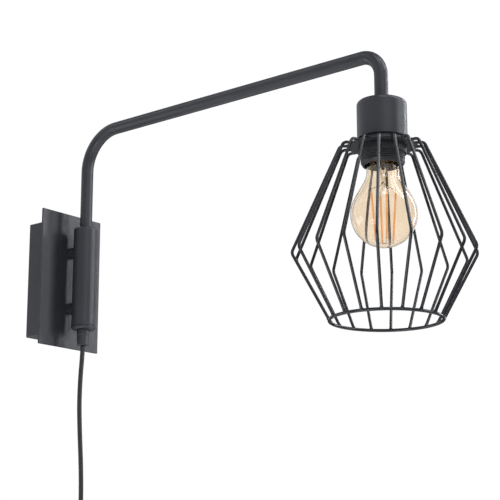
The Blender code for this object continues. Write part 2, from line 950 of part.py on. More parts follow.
HANG = (CORD_X, CORD_Y, 0)
switch = box(
    "switch_housing",
    (-SWITCH_W / 2, -SWITCH_T / 2, SWITCH_TOP - SWITCH_L),
    (SWITCH_W / 2, SWITCH_T / 2, SWITCH_TOP),
    BLACK,
    HANG,
)
bevel(switch, 2.5, 2)
SWITCH_MID = SWITCH_TOP - SWITCH_L / 2
combine(
    switch,
    box(
        "cut_rocker_pocket",
        (-6.5, -SWITCH_T, SWITCH_MID - 11.3),
        (6.5, -SWITCH_T / 2 + 6.5, SWITCH_MID + 11.3),
        None,
        HANG,
        helper=True,
    ),
)
# Rocker: pivots on a pin along X in the middle of the pocket, and rests tilted.
PIVOT_Y = -SWITCH_T / 2 + 2.4
rocker_axis = empty("rocker_axis", (CORD_X, CORD_Y + PIVOT_Y, SWITCH_MID))
shape = [
    (-3.3, -10.0),
    (-2.3, 0.0),
    (-3.3, 10.0),
    (0.4, 10.0),
    (2.2, 3.0),
    (2.2, -3.0),
    (0.4, -10.0),
]
tilt = math.radians(ROCKER_TILT)
shape = [
    (y * math.cos(tilt) - z * math.sin(tilt), y * math.sin(tilt) + z * math.cos(tilt))
    for y, z in shape
]
extruded(
    "switch_rocker",
    shape,
    -6.1,
    6.1,
    0,
    BLACK,
    (CORD_X, CORD_Y + PIVOT_Y, SWITCH_MID),
    rocker_axis,
)

# A straight end of lead between the switch and the hank.
cable(
    "cord_middle",
    [
        Vector((CORD_X, CORD_Y, z))
        for z in (SWITCH_TOP - SWITCH_L - GAP, HANK_TOP + GAP)
    ],
    CORD_R,
    PVC,
)
# The rest of the lead, folded into a flat hank with round ends.
AT_HANK = (CORD_X, CORD_Y + HANK_BACK / 2, 0)
AT_PLUG = (CORD_X, CORD_Y + HANK_BACK, 0)
r = HANK_W / 2
outline = []
for k in range(9):
    t = math.pi * k / 8
    outline.append((r * math.cos(t), HANK_TOP - r + r * math.sin(t)))
for k in range(9):
    t = math.pi + math.pi * k / 8
    outline.append((r * math.cos(t), HANK_TOP - HANK_L + r + r * math.sin(t)))
extruded("cord_hank", outline, -HANK_T / 2, HANK_T / 2, 1, PVC, AT_HANK)
# Tie: a strap round the middle of the hank.
tie_x, tie_y = HANK_W / 2 + GAP, HANK_T / 2 + GAP
tie_mid = HANK_TOP - HANK_L / 2
tie = box(
    "hank_tie",
    (-tie_x - 1.2, -tie_y - 1.2, tie_mid - 5),
    (tie_x + 1.2, tie_y + 1.2, tie_mid + 5),
    BLACK,
    AT_HANK,
)
bevel(tie, 0.8)
combine(
    tie,
    box(
        "cut_tie_inside",
        (-tie_x, -tie_y, tie_mid - 9),
        (tie_x, tie_y, tie_mid + 9),
        None,
        AT_HANK,
        helper=True,
    ),
)
cable(
    "cord_lower",
    [
        Vector((*AT_PLUG[:2], z))
        for z in (HANK_TOP - HANK_L - GAP, PLUG_TOP + GAP)
    ],
    CORD_R,
    PVC,
)
# Flat two-pin plug with its tapered strain relief, pointing down.
PLUG_LOW = PLUG_TOP - PLUG_RELIEF - PLUG_BODY
plug = extruded(
    "plug_body",
    [
        (-17.0, PLUG_LOW),
        (17.0, PLUG_LOW),
        (17.5, PLUG_LOW + 12),
        (9.0, PLUG_LOW + PLUG_BODY),
        (-9.0, PLUG_LOW + PLUG_BODY),
        (-17.5, PLUG_LOW + 12),
    ],
    -6.8,
    6.8,
    1,
    BLACK,
    AT_PLUG,
)
bevel(plug, 1.6)
relief = turned(
    "join_plug_relief",
    [
        (0, PLUG_TOP),
        (3.3, PLUG_TOP),
        (4.9, PLUG_TOP - PLUG_RELIEF),
        (4.9, PLUG_TOP - PLUG_RELIEF - 6),
        (0, PLUG_TOP - PLUG_RELIEF - 6),
    ],
    BLACK,
    AT_PLUG,
    steps=16,
    helper=True,
)
combine(plug, relief, "UNION")
for tag, x in (("left", -9.2), ("right", 9.2)):
    turned(
        f"plug_pin_{tag}",
        [
            (0, PLUG_LOW - GAP),
            (2.0, PLUG_LOW - GAP),
            (2.0, PLUG_LOW - PIN_L + 1.0),
            (1.2, PLUG_LOW - PIN_L),
            (0, PLUG_LOW - PIN_L),
        ],
        NICKEL,
        (AT_PLUG[0] + x, AT_PLUG[1], 0),
        steps=12,
    )
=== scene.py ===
import math

import bmesh
import bpy
from mathutils import Matrix, Vector


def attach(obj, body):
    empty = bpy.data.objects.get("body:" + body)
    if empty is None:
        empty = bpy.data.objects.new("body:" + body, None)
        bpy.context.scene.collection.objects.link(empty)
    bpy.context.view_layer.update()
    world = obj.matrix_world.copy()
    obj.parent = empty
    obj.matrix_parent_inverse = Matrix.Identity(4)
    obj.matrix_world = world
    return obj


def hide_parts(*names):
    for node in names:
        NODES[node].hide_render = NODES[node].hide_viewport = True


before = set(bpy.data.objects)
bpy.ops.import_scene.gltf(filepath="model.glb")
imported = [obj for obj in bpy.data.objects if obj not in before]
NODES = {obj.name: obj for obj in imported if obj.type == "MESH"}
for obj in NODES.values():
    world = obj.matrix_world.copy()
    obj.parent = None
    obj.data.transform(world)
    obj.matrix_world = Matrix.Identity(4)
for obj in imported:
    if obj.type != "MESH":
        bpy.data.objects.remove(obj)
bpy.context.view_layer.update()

MM = 0.001

# The dimensions below repeat the CAD's, in millimetres.
AXIS_Y, HEAD_Y = -53.0, -433.0
PLATE_W, PLATE_H, PLATE_T, PLATE_FRONT_Y = 84.0, 144.0, 2.0, -32.0
BOX_W, BOX_H, BOX_D, BOX_WALL = 62.0, 122.0, 29.7, 1.5
HOUSING_SCREW_Y, STANDOFF_Z, STANDOFF_R = -11.0, 30.0, 6.0
SLEEVE_R, SLEEVE_BORE_R, SLEEVE_TOP, SLEEVE_BOTTOM = 12.5, 9.5, 54.0, -51.0
CAP_BOTTOM, GLAND_BOTTOM = -54.6, -71.5
TUBE_R, TUBE_BORE_R, ARM_Z, REACH = 6.35, 5.3, 156.7, 380.0
BEND_1, BEND_2, RISER_END = 41.0, 21.0, -37.0
CUP_R, CUP_WALL, CUP_TOP, CUP_BOTTOM, CUP_FILLET = 22.75, 1.5, 110.0, 74.0, 4.0
SKIRT_R, HUB_R, HUB_TOP, HUB_T = 19.2, 31.0, 68.4, 1.5
WIRES, WIRE_PHASE, WIRE_R = 18, 10.0, 1.4
KNEE_R, KNEE_Z, RING_R, RING_Z, RING_WIRE_R = 82.6, -31.2, 50.0, -91.4, 1.5
BULB_R, BULB_Z = 30.0, 4.0
FILAMENT_TOP, FILAMENT_LOW = 24.0, -20.0
FILAMENT_TOP_R, FILAMENT_LOW_R, FILAMENT_PHASE = 11.2, 7.9, -41.0
CORD_D = 4.8
SWITCH_TOP, SWITCH_L, SWITCH_W, SWITCH_T = -240.0, 50.0, 24.0, 16.0
CORD_X, CORD_Y = 1.5, -54.9
HANK_TOP, HANK_L, FOLD_R, HANK_TURNS, TURN_PITCH = -299.0, 91.4, 14.55, 7, 5.0
PLUG_RELIEF, PLUG_BODY, PIN_L = 15.0, 32.0, 19.0
PLUG_TOP = HANK_TOP - HANK_L - 10.8
ROCKER_TILT = 8.0

# ---------------------------------------------------------------------- camera
YAW, PITCH = math.radians(50.3575), math.radians(13.7343)
camera_data = bpy.data.cameras.new("camera")
camera_data.lens = 106.32
camera_data.sensor_width = 36.0
camera_data.clip_start, camera_data.clip_end = 0.05, 30.0
camera = bpy.data.objects.new("camera", camera_data)
camera.location = (-1.05257, -1.15027, -0.33841)
camera.rotation_euler = (math.pi / 2 + PITCH, 0.0, -YAW)
bpy.context.scene.collection.objects.link(camera)
bpy.context.scene.camera = camera


# ------------------------------------------------------------------- materials
def nodes_of(name):
    m = bpy.data.materials.new(name)
    m.use_nodes = True
    tree = m.node_tree
    shader = tree.nodes["Principled BSDF"]
    place = tree.nodes.new("ShaderNodeTexCoord")
    return m, tree, shader, place.outputs["Object"]


def noise(tree, where, scale, detail=2.0, roughness=0.5, stretch=None):
    if stretch:
        mapping = tree.nodes.new("ShaderNodeMapping")
        mapping.inputs["Scale"].default_value = stretch
        tree.links.new(where, mapping.inputs["Vector"])
        where = mapping.outputs["Vector"]
    n = tree.nodes.new("ShaderNodeTexNoise")
    n.inputs["Scale"].default_value = scale
    n.inputs["Detail"].default_value = detail
    n.inputs["Roughness"].default_value = roughness
    tree.links.new(where, n.inputs["Vector"])
    return n.outputs["Fac"]


def ramp(tree, fac, *stops):
    """Stops are (position, value) with value a number or an RGB colour."""
    r = tree.nodes.new("ShaderNodeValToRGB")
    elements = r.color_ramp.elements
    while len(elements) > 1:
        elements.remove(elements[-1])
    for k, (at, value) in enumerate(stops):
        e = elements[0] if k == 0 else elements.new(at)
        e.position = at
        e.color = (value,) * 3 + (1.0,) if isinstance(value, float) else (*value, 1.0)
    tree.links.new(fac, r.inputs["Fac"])
    return r.outputs["Color"]


def bump(tree, shader, height, distance, strength=1.0, under=None):
    b = tree.nodes.new("ShaderNodeBump")
    b.inputs["Strength"].default_value = strength
    b.inputs["Distance"].default_value = distance
    tree.links.new(height, b.inputs["Height"])
    if under:
        tree.links.new(under, b.inputs["Normal"])
    tree.links.new(b.outputs["Normal"], shader.inputs["Normal"])
    return b.outputs["Normal"]


def tones(rgb, low, high):
    return tuple(c * low for c in rgb), tuple(c * high for c in rgb)


def surface(
    name,
    rgb,
    roughness,
    metallic=0.0,
    spread=0.12,
    patch=25.0,
    grain=1100.0,
    depth=0.00002,
    rough_spread=0.06,
    specular=0.5,
    stretch=None,
):
    """A finish whose tone, gloss and fine relief all vary a little."""
    m, tree, shader, where = nodes_of(name)
    dark, light = tones(rgb, 1 - spread, 1 + spread)
    big = noise(tree, where, patch, 3.0)
    tree.links.new(ramp(tree, big, (0.3, dark), (0.7, light)), shader.inputs["Base Color"])
    fine = noise(tree, where, grain, 2.0, 0.6, stretch)
    mid = noise(tree, where, patch * 6, 4.0, 0.6, stretch)
    tree.links.new(
        ramp(
            tree,
            mid,
            (0.3, float(roughness - rough_spread)),
            (0.7, float(roughness + rough_spread)),
        ),
        shader.inputs["Roughness"],
    )
    shader.inputs["Metallic"].default_value = metallic
    shader.inputs["Specular IOR Level"].default_value = specular
    bump(tree, shader, fine, depth)
    return m


def glass(name, rgb, spread, roughness=0.0):
    m, tree, shader, where = nodes_of(name)
    shader.inputs["Transmission Weight"].default_value = 1.0
    shader.inputs["IOR"].default_value = 1.45
    a, b = tones(rgb, 1 - spread, 1 + spread)
    b = tuple(min(1.0, c) for c in b)
    big = noise(tree, where, 30.0, 2.0)
    tree.links.new(ramp(tree, big, (0.35, a), (0.65, b)), shader.inputs["Base Color"])
    shader.inputs["Roughness"].default_value = roughness
    bump(tree, shader, noise(tree, where, 45.0, 1.0, stretch=(1.0, 1.0, 0.35)), 0.00003)
    return m


COAT = surface("powder_coat", (0.030, 0.0315, 0.036), 0.40, 0.0, 0.10, specular=0.5)
WIRE_COAT = surface("wire_powder_coat", (0.017, 0.018, 0.021), 0.25, 0.0, 0.12)
ZINC = surface(
    "zinc_plated_steel", (0.56, 0.56, 0.57), 0.34, 1.0, 0.10, 60.0, 700.0, 0.000012
)
NYLON = surface("natural_nylon", (0.72, 0.71, 0.66), 0.48, 0.0, 0.05, 40.0)
BLACK = surface("black_moulding", (0.018, 0.018, 0.020), 0.42, 0.0, 0.12, 40.0, 1500.0)
PLASTIC = surface(
    "black_switch_plastic", (0.020, 0.020, 0.022), 0.38, 0.0, 0.10, 40.0, 2600.0, 0.00003
)
BRASS = surface(
    "brass", (0.66, 0.44, 0.19), 0.30, 1.0, 0.14, 90.0, 900.0, 0.00001, 0.08
)
NICKEL = surface("nickel", (0.68, 0.66, 0.62), 0.24, 1.0, 0.08, 60.0, 900.0, 0.000008)
WIRE_METAL = surface("lead_wire", (0.50, 0.44, 0.36), 0.35, 1.0, 0.10, 200.0)
CEMENT = surface("basing_cement", (0.82, 0.66, 0.46), 0.6, 0.0, 0.08, 150.0, 2000.0)
CERAMIC = surface("steatite", (0.80, 0.78, 0.72), 0.42, 0.0, 0.05, 70.0)
PVC = surface(
    "black_pvc_sheath", (0.022, 0.022, 0.024), 0.44, 0.0, 0.12, 90.0, 1800.0, 0.00002
)
AMBER = glass("amber_glass", (0.94, 0.842, 0.718), 0.015)
STEM_GLASS = glass("stem_glass", (0.97, 0.95, 0.90), 0.02)


def filament_material():
    """Orange phosphor over a row of chips, which shows as fine darker cross lines."""
    m, tree, shader, where = nodes_of("filament_phosphor")
    wave = tree.nodes.new("ShaderNodeTexWave")
    wave.wave_type, wave.bands_direction = "BANDS", "Z"
    wave.inputs["Scale"].default_value = 160.0
    wave.inputs["Distortion"].default_value = 0.6
    tree.links.new(where, wave.inputs["Vector"])
    tree.links.new(
        ramp(
            tree, wave.outputs["Fac"], (0.1, (0.94, 0.48, 0.19)), (0.6, (1.0, 0.62, 0.30))
        ),
        shader.inputs["Base Color"],
    )
    shader.inputs["Roughness"].default_value = 0.5
    # painted glow: a faint orange emission that brightens the unlit filament strips
    shader.inputs["Emission Color"].default_value = (1.0, 0.45, 0.14, 1.0)
    shader.inputs["Emission Strength"].default_value = 0.22
    bump(tree, shader, noise(tree, where, 1500.0), 0.00003)
    return m


FILAMENT = filament_material()


# --------------------------------------------------------------------- helpers
def outline(points, closed=True, step=14.0):
    """Corners (x, y) or (x, y, radius) as a line with each radius rounded off."""
    out, n = [], len(points)
    for i, p in enumerate(points):
        at = Vector(p[:2])
        radius = p[2] if len(p) > 2 else 0.0
        if radius <= 0 or (not closed and i in (0, n - 1)):
            out.append(at)
            continue
        u = Vector(points[i - 1][:2]) - at
        v = Vector(points[(i + 1) % n][:2]) - at
        room = 0.49 * min(u.length, v.length)
        u.normalize()
        v.normalize()
        half = u.angle(v) / 2
        run = min(radius / math.tan(half), room)
        radius = run * math.tan(half)
        middle = at + (u + v).normalized() * radius / math.sin(half)
        a, b = at + u * run - middle, at + v * run - middle
        whole = a.angle(b)
        steps = max(2, math.ceil(math.degrees(whole) / step))
        for k in range(steps + 1):
            t = k / steps
            out.append(
                middle
                + (a * math.sin(whole * (1 - t)) + b * math.sin(whole * t))
                / math.sin(whole)
            )
    return out


def dense(line, spacing, low, high):
    """More points where a turned profile runs between two heights."""
    out = [line[0]]
    for a, b in zip(line, line[1:]):
        if (
            abs(a.y - b.y) > spacing
            and min(a.y, b.y) >= low - 1e-3
            and max(a.y, b.y) <= high + 1e-3
        ):
            count = math.ceil((b - a).length / spacing)
            out += [a.lerp(b, k / count) for k in range(1, count)]
        out.append(b)
    return out


def to_object(name, bm, mat, body, replaced=(), at=(0, 0, 0), sharp=32.0):
    """The bmesh, in millimetres about `at`, as a finished piece on that body."""
    bmesh.ops.recalc_face_normals(bm, faces=bm.faces)
    bmesh.ops.scale(bm, vec=(MM, MM, MM), verts=bm.verts)
    bmesh.ops.translate(bm, vec=Vector(at) * MM, verts=bm.verts)
    mesh = bpy.data.meshes.new(name)
    bm.to_mesh(mesh)
    bm.free()
    mesh.shade_smooth()
    mesh.set_sharp_from_angle(angle=math.radians(sharp))
    ob = bpy.data.objects.new(name, mesh)
    if mat:
        mesh.materials.append(mat)
    bpy.context.scene.collection.objects.link(ob)
    if body:
        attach(ob, body)
        if replaced:
            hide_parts(*replaced)
    return ob


def lathe_mesh(line, steps, relief=None):
    """Turns (radius, z) points about Z. The ends of a solid's line lie on the axis;
    any other line closes on itself. relief(r, z, turn) is added to the radius."""
    bm = bmesh.new()
    solid = line[0][0] < 1e-9 and line[-1][0] < 1e-9
    rows = []
    for r, z in line:
        if r < 1e-9:
            rows.append([bm.verts.new((0, 0, z))] * steps)
            continue
        row = []
        for k in range(steps):
            t = 2 * math.pi * k / steps
            rr = r + (relief(r, z, t) if relief else 0.0)
            row.append(bm.verts.new((rr * math.cos(t), rr * math.sin(t), z)))
        rows.append(row)
    pairs = list(zip(rows, rows[1:]))
    if not solid:
        pairs.append((rows[-1], rows[0]))
    for a, b in pairs:
        for k in range(steps):
            n = (k + 1) % steps
            face = []
            for v in (a[k], a[n], b[n], b[k]):
                if v not in face:
                    face.append(v)
            if len(face) > 2:
                bm.faces.new(face)
    return bm


def lathe(
    name,
    points,
    mat,
    body,
    replaced=(),
    at=(0, 0, 0),
    steps=96,
    relief=None,
    fine=None,
    step=14.0,
    sharp=32.0,
):
    solid = points[0][0] < 1e-9 and points[-1][0] < 1e-9
    line = outline(points, not solid, step)
    if fine:
        line = dense(line, *fine)
    return to_object(
        name, lathe_mesh(line, steps, relief), mat, body, replaced, at, sharp
    )


def corner(before, at, after, radius, steps):
    """Points of the arc that rounds the corner at `at`."""
    u, v = (before - at).normalized(), (after - at).normalized()
    half = u.angle(v) / 2
    middle = at + (u + v).normalized() * radius / math.sin(half)
    start, end = at + u * radius / math.tan(half), at + v * radius / math.tan(half)
    a, b = start - middle, end - middle
    whole = a.angle(b)
    return [
        middle
        + (a * math.sin(whole * (1 - t)) + b * math.sin(whole * t)) / math.sin(whole)
        for t in [k / steps for k in range(steps + 1)]
    ]


def sweep(bm, path, radii, sides, close=True):
    """A tube skin along the path. radii is a number or one for each point. With
    close, its two ends are closed by a face."""
    rings, normal = [], None
    if not isinstance(radii, (list, tuple)):
        radii = [radii] * len(path)
    for i, p in enumerate(path):
        a = (p - path[i - 1]).normalized() if i else None
        b = (path[i + 1] - p).normalized() if i < len(path) - 1 else None
        ahead = ((a or b) + (b or a)).normalized()
        if normal is None:
            normal = Vector((1, 0, 0)) if abs(ahead.x) < 0.8 else Vector((0, 1, 0))
        normal = (normal - ahead * normal.dot(ahead)).normalized()
        side = ahead.cross(normal)
        rings.append(
            [
                bm.verts.new(
                    p
                    + normal * radii[i] * math.cos(2 * math.pi * k / sides)
                    + side * radii[i] * math.sin(2 * math.pi * k / sides)
                )
                for k in range(sides)
            ]
        )
    for a, b in zip(rings, rings[1:]):
        for k in range(sides):
            n = (k + 1) % sides
            bm.faces.new((a[k], a[n], b[n], b[k]))
    if close:
        bm.faces.new(rings[0])
        bm.faces.new(rings[-1])
    return rings


def extrude(line, low, high, axis):
    """A closed 2-D line, extruded along X, Y or Z."""
    others = [i for i in range(3) if i != axis]
    bm = bmesh.new()
    levels = []
    for level in (low, high):
        row = []
        for p in line:
            co = [0.0, 0.0, 0.0]
            co[axis], co[others[0]], co[others[1]] = level, p[0], p[1]
            row.append(bm.verts.new(co))
        levels.append(row)
        bm.faces.new(row)
    a, b = levels
    for k in range(len(line)):
        n = (k + 1) % len(line)
        bm.faces.new((a[k], a[n], b[n], b[k]))
    return bm


def block(low, high):
    bm = bmesh.new()
    bmesh.ops.create_cube(bm, size=1.0)
    for v in bm.verts:
        v.co = Vector([low[i] if v.co[i] < 0 else high[i] for i in range(3)])
    return bm


def round_edges(bm, width, segments=3, angle=30.0, keep=None):
    edges = [
        e
        for e in bm.edges
        if len(e.link_faces) == 2
        and e.calc_face_angle(0.0) > math.radians(angle)
        and (keep is None or keep(e))
    ]
    bmesh.ops.bevel(
        bm,
        geom=edges,
        offset=width,
        segments=segments,
        profile=0.5,
        affect="EDGES",
        clamp_overlap=True,
    )
    return bm


def cutter(bm, at=(0, 0, 0)):
    ob = to_object("cutter", bm, None, None, at=at)
    ob.hide_render = True
    return ob


def cut(ob, *cutters, operation="DIFFERENCE", sharp=32.0):
    """Cuts the pieces away for good, and removes the cutters."""
    for c in cutters:
        mod = ob.modifiers.new("cut", "BOOLEAN")
        mod.operation, mod.solver, mod.object = operation, "EXACT", c
    bpy.context.view_layer.update()
    done = bpy.data.meshes.new_from_object(
        ob.evaluated_get(bpy.context.evaluated_depsgraph_get())
    )
    ob.modifiers.clear()
    old, ob.data = ob.data, done
    done.name = ob.name
    bpy.data.meshes.remove(old)
    for c in cutters:
        bpy.data.objects.remove(c)
    done.shade_smooth()
    done.set_sharp_from_angle(angle=math.radians(sharp))
    return ob


def pin(a, b, radius, steps=48):
    """A round bar between two points, as a bmesh for cutting."""
    a, b = Vector(a), Vector(b)
    bm = bmesh.new()
    bmesh.ops.create_cone(
        bm, cap_ends=True, segments=steps, radius1=radius, radius2=radius,
        depth=(b - a).length,
    )
    turn = (b - a).to_track_quat("Z", "Y").to_matrix().to_4x4()
    bmesh.ops.transform(
        bm, matrix=Matrix.Translation((a + b) / 2) @ turn, verts=bm.verts
    )
    return bm


def even(ob):
    """Shading that follows the large faces."""
    mod = ob.modifiers.new("even_shading", "WEIGHTED_NORMAL")
    mod.keep_sharp = True
    mod.weight = 60
    return ob


def dress(node, mat):
    """A CAD node that stays gets its better material."""
    data = NODES[node].data
    if data.materials:
        for k in range(len(data.materials)):
            data.materials[k] = mat
    else:
        data.materials.append(mat)
    data.shade_smooth()
    data.set_sharp_from_angle(angle=math.radians(32))


def smooth_line(name, points, radius, mat, sides=10):
    """One smooth round curve through the points, in millimetres. A point may come
    with the direction of the curve there."""
    known = [p[1] if isinstance(p, tuple) else None for p in points]
    points = [p[0] if isinstance(p, tuple) else p for p in points]
    aheads = []
    for i, p in enumerate(points):
        before, after = points[max(i - 1, 0)], points[min(i + 1, len(points) - 1)]
        back, on = (p - before).length, (after - p).length
        if known[i] is not None:
            aheads.append(known[i].normalized())
        elif back < 1e-9 or on < 1e-9:
            aheads.append((after - before).normalized())
        else:
            aheads.append(
                ((p - before) / back * on + (after - p) / on * back).normalized()
            )

    data = bpy.data.curves.new(name, "CURVE")
    data.dimensions = "3D"
    data.bevel_depth = radius * MM
    data.bevel_resolution = sides
    data.use_fill_caps = True
    data.resolution_u = 5
    data.twist_mode = "MINIMUM"
    line = data.splines.new("BEZIER")
    line.bezier_points.add(len(points) - 1)
    reach = [0.0]
    for i in range(len(points) - 1):
        turn = aheads[i].angle(aheads[i + 1], 0.0)
        gap = (points[i + 1] - points[i]).length
        reach.append(gap / 3 / math.cos(turn / 4) ** 2)
    reach.append(0.0)
    for i, (knot, p) in enumerate(zip(line.bezier_points, points)):
        knot.handle_left_type = knot.handle_right_type = "FREE"
        knot.co = p * MM
        knot.handle_left = (p - aheads[i] * reach[i]) * MM
        knot.handle_right = (p + aheads[i] * reach[i + 1]) * MM
    data.materials.append(mat)
    ob = bpy.data.objects.new(name, data)
    bpy.context.scene.collection.objects.link(ob)
    return ob


# ---------------------------------------------------------------------- cord
# From the gland down to the switch, in the lead's slight bow.
SIDE = Vector((0.638, -0.770, 0))
route = [
    Vector((0, AXIS_Y, 0)) + SIDE * off + Vector((0, 0, z))
    for off, z in (
        (0.0, -71.8),
        (-0.1, -76.5),
        (-0.3, -82.0),
        (-0.65, -89.5),
        (-1.1, -97.0),
        (-1.7, -113.0),
        (-1.8, -133.0),
        (-1.0, -154.0),
        (-0.1, -170.0),
        (0.7, -183.0),
        (1.4, -196.0),
        (2.0, -212.0),
        (2.3, -226.0),
        (2.4, -240.0),
    )
]
DOWN = Vector((0, 0, -1))
route += [
    (Vector((CORD_X, CORD_Y, z)), DOWN) for z in (-256.0, -273.0, -290.0, -297.5)
]


FOLD = [math.pi * j / 8 for j in range(9)]


# Through the hank: down the left, round the low fold, up the right while it moves
# on by one pitch towards the wall, round the high fold, and so on.
high = HANK_TOP - 0.2 - CORD_D / 2 - FOLD_R
low = HANK_TOP - HANK_L + 0.2 + CORD_D / 2 + FOLD_R
LEAN = 42.0  # height over which the lead moves from the middle to the side


def lean_in(t):
    return -FOLD_R * (0.5 - 0.5 * math.cos(math.pi * t))


route += [
    Vector((CORD_X + lean_in(k / 6), CORD_Y, HANK_TOP - 1.0 - LEAN * k / 6))
    for k in range(7)
]
run = [low + (high - low) * t for t in (0.25, 0.5, 0.75)]
route += [Vector((CORD_X - FOLD_R, CORD_Y, (HANK_TOP - 1.0 - LEAN + low) / 2))]
for k in range(HANK_TURNS):
    y0, y1 = CORD_Y + TURN_PITCH * k, CORD_Y + TURN_PITCH * (k + 1)
    route += [
        (
            Vector((CORD_X - FOLD_R * math.cos(a), y0, low - FOLD_R * math.sin(a))),
            Vector((math.sin(a), 0, -math.cos(a))),
        )
        for a in FOLD
    ]
    for t in (0.25, 0.5, 0.75):
        s = t * t * (3 - 2 * t)
        route.append(
            Vector((CORD_X + FOLD_R, y0 + (y1 - y0) * s, low + (high - low) * t))
        )
    route += [
        (
            Vector((CORD_X + FOLD_R * math.cos(a), y1, high + FOLD_R * math.sin(a))),
            Vector((-math.sin(a), 0, math.cos(a))),
        )
        for a in FOLD
    ]
    if k < HANK_TURNS - 1:
        route += [
            Vector((CORD_X - FOLD_R, y1, high + (low - high) * t))
            for t in (0.25, 0.5, 0.75)
        ]
PLUG_Y = CORD_Y + TURN_PITCH * HANK_TURNS
LEAN_START = HANK_TOP - HANK_L + 1.0 + LEAN
route.append(Vector((CORD_X - FOLD_R, PLUG_Y, (high + LEAN_START) / 2)))
route += [
    Vector((CORD_X + lean_in(1 - k / 6), PLUG_Y, LEAN_START - LEAN * k / 6))
    for k in range(7)
]
route += [
    (Vector((CORD_X, PLUG_Y, z)), DOWN)
    for z in (PLUG_TOP + 2.0, PLUG_TOP - 8.0, PLUG_TOP - 20.0)
]
lead = smooth_line("mains_lead", route, CORD_D / 2, PVC)
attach(lead, "root")
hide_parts("cord_upper", "cord_middle", "cord_hank", "cord_lower")


# ---------------------------------------------------------- what is on the lead
def half_switch(name, y_low, y_high, replaced):
    """One half shell of the inline switch: narrow ends, rounded outer edges."""
    h, w = SWITCH_L / 2, SWITCH_W / 2
    line = outline(
        [
            (-w, -h + 13, 9), (-6.2, -h, 2.5), (6.2, -h, 2.5), (w, -h + 13, 9),
            (w, h - 13, 9), (6.2, h, 2.5), (-6.2, h, 2.5), (-w, h - 13, 9),
        ],
        step=10,
    )
    bm = extrude(line, y_low, y_high, 1)
    outer = y_low if abs(y_low) > abs(y_high) else y_high
    round_edges(
        bm, 2.6, 5, 60, lambda e: all(abs(v.co.y - outer) < 1e-4 for v in e.verts)
    )
    inner = y_high if outer == y_low else y_low
    round_edges(
        bm, 0.25, 1, 60, lambda e: all(abs(v.co.y - inner) < 1e-4 for v in e.verts)
    )
    return to_object(
        name, bm, PLASTIC, "root", replaced,
        (CORD_X, CORD_Y, SWITCH_TOP - h),
    )


SWITCH_MID = SWITCH_TOP - SWITCH_L / 2
switch_front = half_switch("switch_front_shell", -SWITCH_T / 2, 0.0, ("switch_housing",))
pocket = round_edges(
    block((-6.5, -12, -11.3), (6.5, -2.75, 11.3)), 1.2, 4, 30,
    lambda e: abs(e.verts[0].co.y - e.verts[1].co.y) > 1,
)
cut(switch_front, cutter(pocket, (CORD_X, CORD_Y, SWITCH_MID)))
even(switch_front)
switch_back = half_switch("switch_back_shell", 0.0, SWITCH_T / 2, ())
wells = [
    cutter(pin((x, SWITCH_T / 2 - 1.6, z), (x, SWITCH_T, z), 2.3, 32),
           (CORD_X, CORD_Y, SWITCH_MID))
    for x, z in ((-7.0, 0.0), (7.0, 0.0))
]
cut(switch_back, *wells)
even(switch_back)


def cross_recess(depth, reach, width):
    """A cross-shaped driver recess that narrows downwards, its mouth at z = 0."""
    parts = []
    for turn in (0.0, math.pi / 2):
        bm = bmesh.new()
        top = [(-reach, -width), (reach, -width), (reach, width), (-reach, width)]
        a = [bm.verts.new((x * 1.1, y * 1.1, depth * 0.25)) for x, y in top]
        b = [bm.verts.new((x * 0.35, y * 0.8, -depth)) for x, y in top]
        bm.faces.new(a)
        bm.faces.new(b)
        for k in range(4):
            n = (k + 1) % 4
            bm.faces.new((a[k], a[n], b[n], b[k]))
        bmesh.ops.rotate(bm, matrix=Matrix.Rotation(turn, 3, "Z"), verts=bm.verts)
        parts.append(bm)
    return parts


for tag, x in (("left", -7.0), ("right", 7.0)):
    ob = lathe(
        f"switch_screw_{tag}",
        [(0, 0), (1.2, -0.05), (2.0, -0.35, 0.3), (2.0, -1.2), (0, -1.2)],
        ZINC, None, steps=40,
    )
    cut(ob, *[cutter(b, (0, 0, -0.1)) for b in cross_recess(0.8, 1.3, 0.25)])
    ob.data.transform(
        Matrix.Translation(
            Vector((CORD_X + x, CORD_Y + SWITCH_T / 2 - 0.4, SWITCH_MID)) * MM
        )
        @ Matrix.Rotation(-math.pi / 2, 4, "X")
    )
    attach(ob, "root")

# Rocker: a hollowed face with rounded crests, tilted about its pin.
tilt = math.radians(ROCKER_TILT)
face = []
for k in range(17):
    z = -10 + 20 * k / 16
    face.append((-2.3 - 1.0 * abs(z / 10) ** 1.6, z))
line = outline(
    [(face[0][0], face[0][1], 0.5)]
    + face[1:-1]
    + [(face[-1][0], face[-1][1], 0.5), (0.4, 10.0, 0.5), (2.2, 3.0, 0.8),
       (2.2, -3.0, 0.8), (0.4, -10.0, 0.5)],
    step=15,
)
line = [
    (
        p[0] * math.cos(tilt) - p[1] * math.sin(tilt),
        p[0] * math.sin(tilt) + p[1] * math.cos(tilt),
    )
    for p in line
]
bm = extrude(line, -6.1, 6.1, 0)
round_edges(bm, 0.5, 3, 60, lambda e: abs(abs(e.verts[0].co.x) - 6.1) < 1e-4
            and abs(e.verts[0].co.x - e.verts[1].co.x) < 1e-4)
rocker = to_object(
    "rocker_button", bm, PLASTIC, "rocker", ("switch_rocker",),
    (CORD_X, CORD_Y - SWITCH_T / 2 + 2.4, SWITCH_MID),
)
even(rocker)

